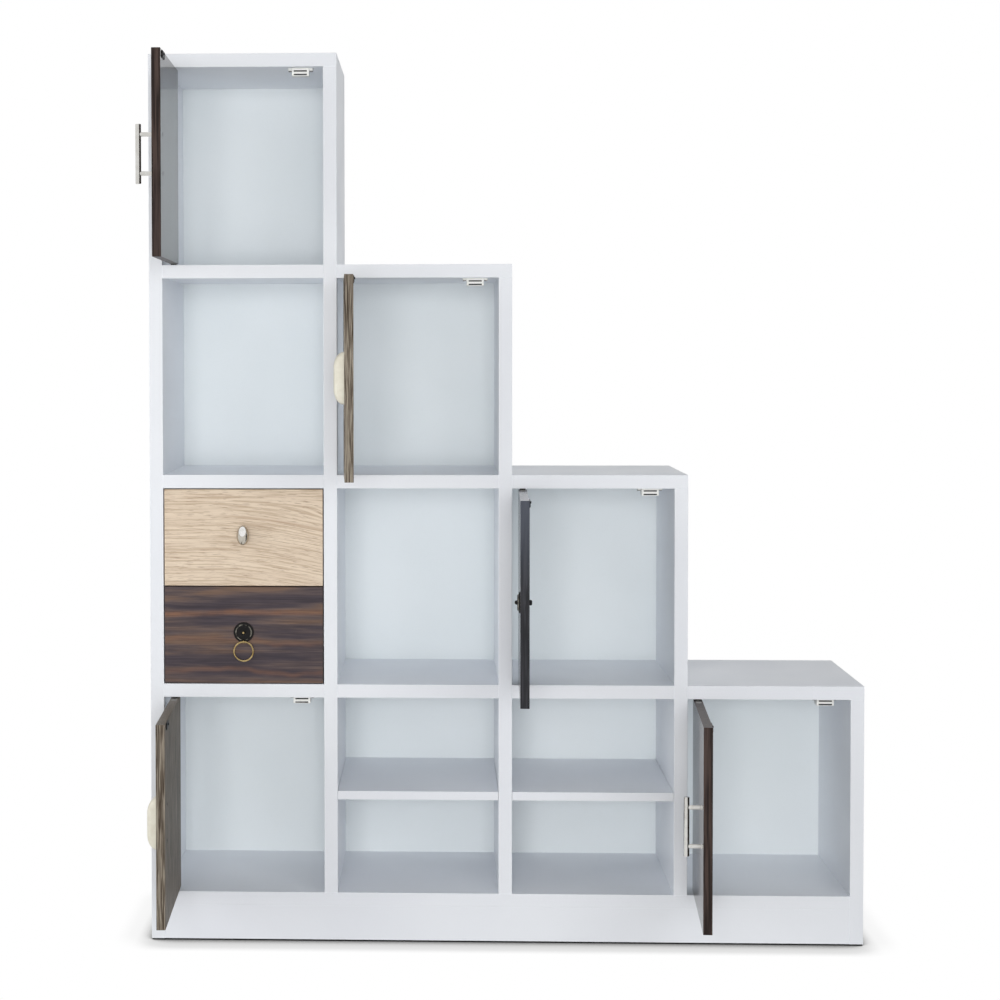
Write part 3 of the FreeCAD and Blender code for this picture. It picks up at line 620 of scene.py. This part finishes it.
def makeHead(place, radius, height, finish):
    head = startRod(place, radius, height, sides=32)
    top = place.y + height
    work(head)
    choose(head, "EDGE", edgeAt(1, top))
    soften(height * boltHead["dome"], steps=4)
    choose(head, "FACE", faceAt(1, top))
    bpy.ops.mesh.inset(thickness=radius * boltHead["socketRim"])
    depth, taper = height * boltHead["socketDepth"], boltHead["socketTaper"]
    push(0, -depth, 0)
    bpy.ops.transform.resize(value=(taper, 1, taper), center_override=(place.x, top - depth, place.z))
    clearHands()
    return coat(head, finish)


# bar pull: a round bar on two posts, each post on a low collar
barPull = {"barRadius": 0.005, "softEdge": 0.0009, "dishRim": 0.0012, "dish": 0.0002, "postRadius": 0.004,
           "postSpacing": 0.068, "collarRadius": 0.0046, "collarHeight": 0.0012, "collarSoft": 0.0004,
           "boltRadius": 0.004, "boltHeight": 0.0024}


def makeBarPull(door):
    low, high = shutBox(door, door + "_bar_pull")
    panelLow, panelHigh = shutBox(door, door + "_panel")
    middle = (low + high) / 2
    axisY = low.y + barPull["barRadius"]
    bar = startShape("cylinder", vertices=48, radius=barPull["barRadius"], depth=high.z - low.z,
                     location=(middle.x, axisY, middle.z))
    work(bar)
    for end in (low.z, high.z):
        choose(bar, "EDGE", edgeAt(2, end))
        soften(barPull["softEdge"], steps=3)
        choose(bar, "FACE", faceAt(2, end))
        bpy.ops.mesh.inset(thickness=barPull["dishRim"], depth=-barPull["dish"])  # a faint dish in the end
    clearHands()
    foot = Vector((middle.x, panelLow.y, middle.z - barPull["postSpacing"] / 2))
    collar = barPull["collarHeight"]
    post = startRod(foot, barPull["collarRadius"], -collar, sides=32)
    work(post)
    choose(post, "EDGE", edgeAt(1, foot.y - collar))
    soften(barPull["collarSoft"], steps=2)
    choose(post, "FACE", faceAt(1, foot.y - collar))
    bpy.ops.mesh.inset(thickness=barPull["collarRadius"] - barPull["postRadius"] - barPull["collarSoft"])
    push(0, axisY - foot.y + collar, 0)
    clearHands()
    coat(bar, finishes["satin_nickel"])
    coat(post, finishes["satin_nickel"])
    back = Vector((foot.x, panelHigh.y - barPull["boltHeight"], foot.z))  # sunk flush in the panel
    bolt = makeHead(back, barPull["boltRadius"], barPull["boltHeight"], finishes["dark_steel"])
    apart = Vector((0, 0, barPull["postSpacing"]))
    return joinAll([bar, post, bolt, copyOf(post, apart), copyOf(bolt, apart)])


for door, (pull,) in onEach(("door_1", "door_4"), makeBarPull):
    turnPiece(pull, doorTurn(door))
    handOver(pull, door + "_bar", door, [door + "_bar_pull"])
print("bar pulls made")


# cup pull: a pressed shell with a flat back and round ends, open towards the hinge, with two bosses inside
cupPull = {"endLength": 0.028, "endShare": 0.98, "endSteps": 18, "round": 0.008, "roundSteps": 6,
           "wall": 0.002, "lip": 0.0005, "lipAngle": 50, "bossRadius": 0.004, "bossSpacing": 0.064,
           "bossInset": 0.007, "bossStraight": 0.6, "bossTaper": 0.85, "boltRadius": 0.004,
           "boltHeight": 0.0024}


def makeCupPull(door):
    low, high = shutBox(door, door + "_cup_pull")
    panelLow, panelHigh = shutBox(door, door + "_panel")
    seat, middle = panelLow.y, (low.z + high.z) / 2
    rise, half = seat - low.y, (high.z - low.z) / 2
    side = high.x - cupPull["round"]  # where the far side starts to round over
    curve = cupPull["endLength"]
    shell = startBox(Vector((low.x, seat - curve, low.z)), Vector((side, seat, high.z)))
    work(shell)
    onBack = edgeAt(1, seat - curve)
    choose(shell, "EDGE", lambda edge: onBack(edge) and edgeAlong(0)(edge))
    soften(curve * cupPull["endShare"], cupPull["endSteps"])
    bpy.ops.mesh.select_all(action="SELECT")
    bpy.ops.transform.resize(value=(1, rise / curve, 1), center_override=(side, seat, middle))
    choose(shell, "FACE", faceAt(0, low.x))
    bpy.ops.mesh.delete(type="FACE")
    choose(shell, "FACE", faceAt(0, side))
    size = (rise, half)
    across = side
    for step in range(1, cupPull["roundSteps"] + 1):
        angle = step / cupPull["roundSteps"] * math.pi / 2
        shrink = cupPull["round"] * (1 - math.cos(angle))
        target = side + cupPull["round"] * math.sin(angle)
        push(target - across, 0, 0)
        across = target
        bpy.ops.transform.resize(value=(1, (rise - shrink) / size[0], (half - shrink) / size[1]),
                                 center_override=(across, seat, middle))
        size = (rise - shrink, half - shrink)
    choose(shell, "FACE", faceAt(1, seat))
    bpy.ops.mesh.delete(type="FACE")
    closeShell(shell)
    useModifier(shell, "SOLIDIFY", thickness=cupPull["wall"], offset=-1, use_even_offset=True)
    easeEdges(shell, cupPull["lip"], cupPull["lipAngle"])
    coat(shell, finishes["champagne"])
    foot = Vector((low.x + cupPull["bossInset"], seat, middle - cupPull["bossSpacing"] / 2))
    pastFlat = cupPull["bossSpacing"] / 2 + cupPull["bossRadius"] - (half - curve)  # into the round end
    tall = rise * math.sqrt(1 - (pastFlat / curve) ** 2) - cupPull["wall"] / 2
    straight, taper = tall * cupPull["bossStraight"], cupPull["bossTaper"]
    boss = startRod(foot, cupPull["bossRadius"], -straight, sides=24)
    work(boss)
    choose(boss, "FACE", faceAt(1, seat - straight))
    push(0, straight - tall, 0)
    bpy.ops.transform.resize(value=(taper, 1, taper), center_override=(foot.x, seat - tall, foot.z))
    clearHands()
    coat(boss, finishes["champagne"])
    back = Vector((foot.x, panelHigh.y - cupPull["boltHeight"], foot.z))  # sunk flush in the panel
    bolt = makeHead(back, cupPull["boltRadius"], cupPull["boltHeight"], finishes["dark_steel"])
    apart = Vector((0, 0, cupPull["bossSpacing"]))
    return joinAll([shell, boss, bolt, copyOf(boss, apart), copyOf(bolt, apart)])


for door, (pull,) in onEach(("door_2", "door_5"), makeCupPull):
    turnPiece(pull, doorTurn(door))
    handOver(pull, door + "_cup", door, [door + "_cup_pull"])
print("cup pulls made")


# rosette: turned steps from the rim up to the crown and over the boss, radius and height in millimetres
rosettePlate = {"radius": 0.019, "edge": 0.0016, "steps": [
    (18.8, 2.1), (18.3, 2.4), (17.6, 2.5), (15.7, 2.5), (15.2, 2.6), (14.9, 2.9), (13.6, 4.5), (13.2, 4.85),
    (12.6, 5.0), (6.6, 5.0), (6.1, 4.8), (4.9, 4.8), (4.3, 5.0), (4.0, 5.6), (3.9, 6.6), (3.5, 7.8),
    (2.8, 8.7), (1.9, 9.25), (0.9, 9.46), (0.3, 9.5)],
    # the band from 13.4 to 15.1 mm out, above its rise, gets a painted highlight
    "tip": 0.0091, "paintedHighlight": (0.0134, 0.0151), "paintedHighlightRise": 0.002, "boltRadius": 0.005, "boltHeight": 0.005}


def makeRosette(seat):
    radius, height = rosettePlate["radius"], rosettePlate["edge"]
    plate = startRod(seat, radius, -height, sides=72)
    work(plate)
    choose(plate, "FACE", faceAt(1, seat.y - height))
    for stepRadius, stepHeight in rosettePlate["steps"]:
        push(0, height - stepHeight / 1000, 0)
        scale = stepRadius / 1000 / radius
        radius, height = stepRadius / 1000, stepHeight / 1000
        bpy.ops.transform.resize(value=(scale, 1, scale), center_override=(seat.x, seat.y - height, seat.z))
    clearHands()
    coat(plate, finishes["black_metal"])
    plate.data.materials.append(finishes["antique_brass"])
    plate.data.materials.append(finishes["rubbed_black"])

    def worn(face):  # the tip, down to the brass
        return face.calc_center_median().y < seat.y - rosettePlate["tip"]

    def paintedHighlight(face):  # painted highlight: a pale ring on the slope up to the crown, standing in for light caught on the bevel
        spot = face.calc_center_median()
        reach = math.hypot(spot.x - seat.x, spot.z - seat.z)
        inner, outer = rosettePlate["paintedHighlight"]
        return inner < reach < outer and spot.y < seat.y - rosettePlate["paintedHighlightRise"]

    work(plate)
    recoat(plate, 1, worn)
    recoat(plate, 2, paintedHighlight)
    clearHands()
    return plate


def boltOn(plate, seat, back):
    place = Vector((seat.x, back, seat.z))
    bolt = makeHead(place, rosettePlate["boltRadius"], rosettePlate["boltHeight"], finishes["dark_steel"])
    return joinAll([plate, bolt])


# the lower drawer's rosette has an eye that a loose ring hangs in
ringPull = {"eyeRadius": 0.0029, "eyeWall": 0.0009, "eyeWidth": 0.0022, "eyeSoft": 0.0005, "eyeAngle": 50,
            "eyeShort": 0.001, "backTurn": 0.8, "backShare": 0.7, "wire": 0.00165, "turns": 96}


def addRing(plate, seat):
    ringLow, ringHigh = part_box("drawer_lower_ring")
    ringMiddle = (ringLow + ringHigh) / 2
    hang = Vector((seat.x, ringMiddle.y, ringHigh.z - ringPull["wire"]))
    eye = startShape("cylinder", vertices=32, radius=ringPull["eyeRadius"], depth=ringPull["eyeWidth"],
                     end_fill_type="NOTHING", location=hang, rotation=(0, math.pi / 2, 0))
    useModifier(eye, "SOLIDIFY", thickness=ringPull["eyeWall"], offset=-1, use_even_offset=True)
    work(eye)

    def towardsPlate(face):
        behind = face.calc_center_median().y - hang.y
        return face.normal.y > ringPull["backTurn"] and behind > ringPull["eyeRadius"] * ringPull["backShare"]

    choose(eye, "FACE", towardsPlate)
    push(0, seat.y - hang.y - ringPull["eyeRadius"] - ringPull["eyeShort"], 0)
    clearHands()
    easeEdges(eye, ringPull["eyeSoft"], ringPull["eyeAngle"])
    coat(eye, finishes["antique_brass"])
    plate = joinAll([plate, eye])
    handOver(plate, "drawer_lower_rose", "drawer_lower", ["drawer_lower_rosette"], smooth=30)

    reach = (ringHigh.x - ringLow.x) / 2 - ringPull["wire"]
    ring = startShape("circle", vertices=20, radius=ringPull["wire"], fill_type="NOTHING",
                      location=ringMiddle + Vector((reach, 0, 0)))
    work(ring)
    bpy.ops.mesh.select_all(action="SELECT")
    bpy.ops.mesh.spin(steps=ringPull["turns"], angle=math.tau, center=ringMiddle, axis=(0, 1, 0))
    clearHands()
    closeShell(ring)
    coat(ring, finishes["antique_brass"])
    body = "drawer_lower_ring"
    handOver(ring, "drawer_lower_loop", body, ["drawer_lower_ring"], smooth=60)


def addRosettes(door):
    low, high = shutBox(door, door + "_rosette")
    panelLow, panelHigh = shutBox(door, door + "_panel")
    seat = Vector(((low.x + high.x) / 2, panelLow.y, (low.z + high.z) / 2))
    frontLow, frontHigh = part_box("drawer_lower_front")
    plateLow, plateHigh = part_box("drawer_lower_rosette")
    ringSeat = Vector(((plateLow.x + plateHigh.x) / 2, frontLow.y, plateHigh.z - rosettePlate["radius"]))
    plate = makeRosette(seat)
    ringPlate = copyOf(plate, ringSeat - seat)
    plate = boltOn(plate, seat, panelHigh.y)
    turnPiece(plate, doorTurn(door))
    handOver(plate, door + "_rose", door, [door + "_rosette"], smooth=30)
    addRing(boltOn(ringPlate, ringSeat, frontHigh.y), ringSeat)


addRosettes("door_3")
print("rosettes and ring made")

# oval knob: an egg on a short waisted stem, its upper front cut to a slanted facet
ovalKnob = {"facetTilt": 22, "facetDrop": 0.0015, "facetEdge": 0.0007, "stemRadius": 0.005, "waist": 0.0042,
            "foot": 0.0007, "neck": 0.0008, "stem": 0.0045, "eggGap": 0.002, "boltRadius": 0.004,
            "boltHeight": 0.0024}


def addKnob():
    frontLow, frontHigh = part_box("drawer_upper_front")
    low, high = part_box("drawer_upper_knob")
    seat = Vector(((low.x + high.x) / 2, frontLow.y, (low.z + high.z) / 2))
    halfWidth, halfHeight = (high.x - low.x) / 2, (high.z - low.z) / 2
    middle = seat - Vector((0, ovalKnob["eggGap"] + halfWidth, 0))
    egg = startShape("uv_sphere", segments=56, ring_count=36, radius=halfWidth, location=middle)
    work(egg)
    bpy.ops.mesh.select_all(action="SELECT")
    bpy.ops.transform.resize(value=(1, 1, halfHeight / halfWidth), center_override=middle)
    tilt = math.radians(ovalKnob["facetTilt"])
    slant = Vector((0, -math.cos(tilt), math.sin(tilt)))
    crest = middle + Vector((0, -halfWidth, -ovalKnob["facetDrop"]))
    bpy.ops.mesh.bisect(plane_co=crest, plane_no=slant, use_fill=True, clear_outer=True, threshold=0.00001)

    def onFacet(face):
        return all(near((vert.co - crest).dot(slant), 0) for vert in face.verts)

    choose(egg, "FACE", onFacet)
    bpy.ops.mesh.inset(thickness=2 * ovalKnob["facetEdge"])  # keeps the facet flat under smooth shading
    choose(egg, "EDGE", lambda edge: [onFacet(face) for face in edge.link_faces].count(True) == 1)
    soften(ovalKnob["facetEdge"], steps=3)
    coat(egg, finishes["knob_nickel"])
    egg.data.materials.append(finishes["facet_nickel"])
    recoat(egg, 1, onFacet)  # painted highlight: the facet gets a paler copy of the knob's nickel, standing in for the lamp's reflection
    clearHands()
    foot, neck = ovalKnob["foot"], ovalKnob["neck"]
    stem = startRod(seat, ovalKnob["stemRadius"], -foot, sides=40)
    work(stem)
    choose(stem, "FACE", faceAt(1, seat.y - foot))
    narrow = ovalKnob["waist"] / ovalKnob["stemRadius"]
    push(0, -neck, 0)
    waist = (seat.x, seat.y - foot - neck, seat.z)
    bpy.ops.transform.resize(value=(narrow, 1, narrow), center_override=waist)
    push(0, -ovalKnob["stem"], 0)
    clearHands()
    head = makeHead(Vector((seat.x, frontHigh.y - ovalKnob["boltHeight"], seat.z)), ovalKnob["boltRadius"],
                   ovalKnob["boltHeight"], finishes["dark_steel"])
    knob = joinAll([egg, coat(stem, finishes["knob_nickel"]), head])
    handOver(knob, "drawer_upper_oval", "drawer_upper", ["drawer_upper_knob"], smooth=30)


addKnob()
print("knob made")

# strike: a pressed plate with round corners on the inner face of each door, held by one screw
strikePlate = {"height": 0.013, "rise": 0.002, "press": 0.0006, "corner": 0.0025, "rim": 0.0016,
               "innerRim": 0.0004, "softEdge": 0.0003, "softAngle": 40,
               "screwRadius": 0.0022, "screwHeight": 0.0016, "screwDrop": 0.00475}
# catch: a moulded box with two ears under the cell's ceiling and slots for its poles
catchBox = {"width": 0.032, "depth": 0.024, "height": 0.0145, "behindScrew": 0.0003, "aboveStrike": 0.004,
            "earReach": 0.0075, "earHeight": 0.004, "earDepth": 0.014, "poleDrops": (0.0055, 0.012),
            "slotHalf": (0.0122, 0.0012), "slotDepth": 0.005, "slotMouth": 0.001, "slotRoom": 0.0001,
            "softEdge": 0.0012, "earRound": 0.004, "earSoft": 0.0006}


def makeStrike(door):
    low, high = shutBox(door, door + "_strike")
    inner = shutBox(door, door + "_panel")[1].y
    face = inner + strikePlate["rise"]
    plate = startBox(Vector((low.x, inner, high.z - strikePlate["height"])),
                     Vector((high.x, face - strikePlate["press"], high.z)))
    work(plate)
    choose(plate, "EDGE", edgeAlong(1))
    soften(strikePlate["corner"], steps=4)
    choose(plate, "FACE", faceAt(1, face - strikePlate["press"]))
    bpy.ops.mesh.inset(thickness=strikePlate["rim"])
    push(0, strikePlate["press"], 0)
    bpy.ops.mesh.inset(thickness=strikePlate["innerRim"])
    clearHands()
    easeEdges(plate, strikePlate["softEdge"], strikePlate["softAngle"])
    screw = Vector(((low.x + high.x) / 2, face, high.z - strikePlate["screwDrop"]))
    head = makeHead(screw, strikePlate["screwRadius"], strikePlate["screwHeight"], finishes["dark_steel"])
    return joinAll([coat(plate, finishes["dark_steel"]), head])


def makeCatch(door):
    low, high = shutBox(door, door + "_strike")
    middleX = (low.x + high.x) / 2
    front = high.y + catchBox["behindScrew"]
    ceiling = high.z + catchBox["aboveStrike"]
    half = catchBox["width"] / 2
    body = startBox(Vector((middleX - half, front, ceiling - catchBox["height"])),
                    Vector((middleX + half, front + catchBox["depth"], ceiling)))
    work(body)
    choose(body, "EDGE", lambda edge: not edgeAt(2, ceiling)(edge))
    soften(catchBox["softEdge"], steps=3)
    slotHalf, slotTall = catchBox["slotHalf"]
    for drop in catchBox["poleDrops"]:
        for level in (ceiling - drop - slotTall, ceiling - drop + slotTall):
            choose(body, "FACE", faceAt(1, front))
            bpy.ops.mesh.bisect(plane_co=(middleX, front, level), plane_no=(0, 0, 1))
    for side in (-slotHalf, slotHalf):
        choose(body, "FACE", faceAt(1, front))
        bpy.ops.mesh.bisect(plane_co=(middleX + side, front, ceiling), plane_no=(1, 0, 0))

    def inSlot(face, room=0):
        spot = face.calc_center_median()
        levels = [ceiling - drop for drop in catchBox["poleDrops"]]
        beside = abs(spot.x - middleX) > slotHalf + room
        return not beside and any(near(spot.z, level, slotTall + room) for level in levels)

    def wall(face):
        deep, room = face.calc_center_median().y - front, catchBox["slotRoom"]
        return catchBox["slotMouth"] < deep < catchBox["slotDepth"] + room and inSlot(face, room)

    coat(body, finishes["white_plastic"])
    body.data.materials.append(finishes["black_plastic"])
    choose(body, "FACE", lambda face: faceAt(1, front)(face) and inSlot(face))
    push(0, catchBox["slotDepth"], 0)
    recoat(body, 1, wall)  # painted shade: the slot walls are black plastic, darkening the recesses
    clearHands()
    earFront = front + (catchBox["depth"] - catchBox["earDepth"]) / 2
    reach = half + catchBox["earReach"]
    ears = startBox(Vector((middleX - reach, earFront, ceiling - catchBox["earHeight"])),
                    Vector((middleX + reach, earFront + catchBox["earDepth"], ceiling)))
    work(ears)
    choose(ears, "EDGE", edgeAlong(2))
    soften(catchBox["earRound"], steps=5)
    choose(ears, "EDGE", edgeAt(2, ceiling - catchBox["earHeight"]))
    soften(catchBox["earSoft"], steps=2)
    clearHands()
    return joinAll([body, coat(ears, finishes["white_plastic"])])


for door, (strike, catch) in onEach(doors, makeStrike, makeCatch):
    turnPiece(strike, doorTurn(door))
    handOver(strike, door + "_keeper", door, [door + "_strike"])
    handOver(catch, door + "_catch", "carcass", ["catch_housings"])
print("strikes and catches made")


# floor: white to the eye, with a painted shadow, the soft dark line where the plinth stands on it, darkened by
# ambient occlusion in what the camera sees
floorLook = {"half": 9, "base": (0.8, 0.8, 0.8, 1), "rough": 0.9, "gloss": 0.1, "reach": 0.075, "beside": 0.3,
             "besideFade": 0.03, "paintedShadowTones": [(0.42, 0.02), (0.53, 0.2), (0.57, 0.4), (0.63, 0.58), (0.7, 0.71),
                                           (0.9, 0.79), (0.98, 1)]}


# one for rays from the camera, also by way of a mirror or glass
def seenBy(finish):
    path = put(finish, "LightPath", {})
    shown = sums(finish, "MAXIMUM", path.outputs["Is Camera Ray"], path.outputs["Is Glossy Ray"])
    return sums(finish, "MAXIMUM", shown, path.outputs["Is Transmission Ray"])


def addFloor():
    clearHands()
    bpy.ops.mesh.primitive_plane_add(size=floorLook["half"] * 2)
    floor = bpy.context.object
    floor.name = "studio_floor"
    finish = newFinish("studio_floor")
    shaded, output = finish.node_tree.nodes["Principled BSDF"], finish.node_tree.nodes["Material Output"]
    plug(finish, shaded, {"Base Color": floorLook["base"], "Roughness": floorLook["rough"],
                          "Specular IOR Level": floorLook["gloss"]})
    paintedContactShadow = put(finish, "AmbientOcclusion", {"Distance": floorLook["reach"]}, samples=16)
    paintedShadowTones = [(share, (grey, grey, grey, 1)) for share, grey in floorLook["paintedShadowTones"]]
    seen = ramp(finish, paintedContactShadow.outputs["AO"], paintedShadowTones)
    along = put(finish, "SeparateXYZ", {0: space(finish)}).outputs["X"]
    away = sums(finish, "ABSOLUTE", sums(finish, "SUBTRACT", along, (cadLow.x + cadHigh.x) / 2), 0)
    end = (cadHigh.x - cadLow.x) / 2
    # beyond the ends the painted shadow keeps only part of its strength
    beside = span(finish, away, end, end + floorLook["besideFade"], 1, floorLook["beside"])
    seen = lay(finish, "MIX", beside, white, seen)
    glow = put(finish, "Emission", {"Color": seen, "Strength": 1})
    mixed = put(finish, "MixShader", {0: seenBy(finish), 1: shaded.outputs[0], 2: glow.outputs[0]})
    plug(finish, output, {"Surface": mixed.outputs[0]})
    coat(floor, finish)


addFloor()

# studio light: soft boxes behind and beside the camera, weaker ones at the sides and top, a dim surround
studio = {"aim": (0, 0, 0.8), "fill": 0.37, "fillColour": (0.97, 0.99, 1.0, 1), "boxes": {
    "far_box": {"place": (-0.4, -7.0, 1.15), "size": 2.0, "power": 172},
    "near_box": {"place": (-0.2, -4.2, 1.0), "size": 2.0, "power": 20},
    "left_box": {"place": (-3.8, -2.0, 1.1), "size": 2.4, "power": 40},
    "right_box": {"place": (2.2, -4.0, 2.2), "size": 2.4, "power": 32},
    "top_box": {"place": (-0.95, -3.96, 3.8), "size": 0.8, "power": 3.2}}}


def addLight(name):
    box = studio["boxes"][name]
    lamp = bpy.data.lights.new(name, "AREA")
    lamp.shape = "SQUARE"
    lamp.size = box["size"]
    lamp.energy = box["power"]
    holder = bpy.data.objects.new(name, lamp)
    bpy.context.scene.collection.objects.link(holder)
    holder.location = box["place"]
    holder.visible_glossy = False  # polished pieces mirror the white room, not the lamps
    aim = Vector(studio["aim"]) - Vector(box["place"])
    holder.rotation_euler = aim.to_track_quat("-Z", "Y").to_euler()


def addWorld():
    world = bpy.data.worlds.new("studio")
    bpy.context.scene.world = world
    world.use_nodes = True
    world.node_tree.nodes.clear()
    fill = put(world, "Background", {"Color": studio["fillColour"], "Strength": studio["fill"]})
    room = put(world, "Background", {"Color": white, "Strength": 1})
    mixed = put(world, "MixShader", {0: seenBy(world), 1: fill.outputs[0], 2: room.outputs[0]})
    put(world, "OutputWorld", {"Surface": mixed.outputs[0]})


for name in studio["boxes"]:
    addLight(name)
addWorld()

# camera: nearly square on, the lens shifted as the picture is framed
view = {"place": (-0.1214, -3.9234, 1.1023), "yaw": -0.0369, "pitch": -0.0285, "roll": -0.0016,
        "film": 36, "lens": 73.025, "shift": (0.135, -0.09)}


def addCamera():
    eye = bpy.data.cameras.new("camera")
    eye.sensor_width = view["film"]
    eye.lens = view["lens"]
    eye.shift_x, eye.shift_y = view["shift"]
    holder = bpy.data.objects.new("camera", eye)
    bpy.context.scene.collection.objects.link(holder)
    yaw, pitch, roll = view["yaw"], view["pitch"], view["roll"]
    ahead = Vector((math.sin(yaw) * math.cos(pitch), math.cos(yaw) * math.cos(pitch), math.sin(pitch)))
    right = Vector((math.cos(yaw), -math.sin(yaw), 0))
    up = right.cross(ahead)
    rightTurned = right * math.cos(roll) + up * math.sin(roll)
    upTurned = up * math.cos(roll) - right * math.sin(roll)
    turn = Matrix((rightTurned, upTurned, -ahead)).transposed().to_4x4()
    holder.matrix_world = Matrix.Translation(view["place"]) @ turn
    bpy.context.scene.camera = holder


addCamera()
bpy.context.scene.view_settings.view_transform = "Standard"
print("studio set up")
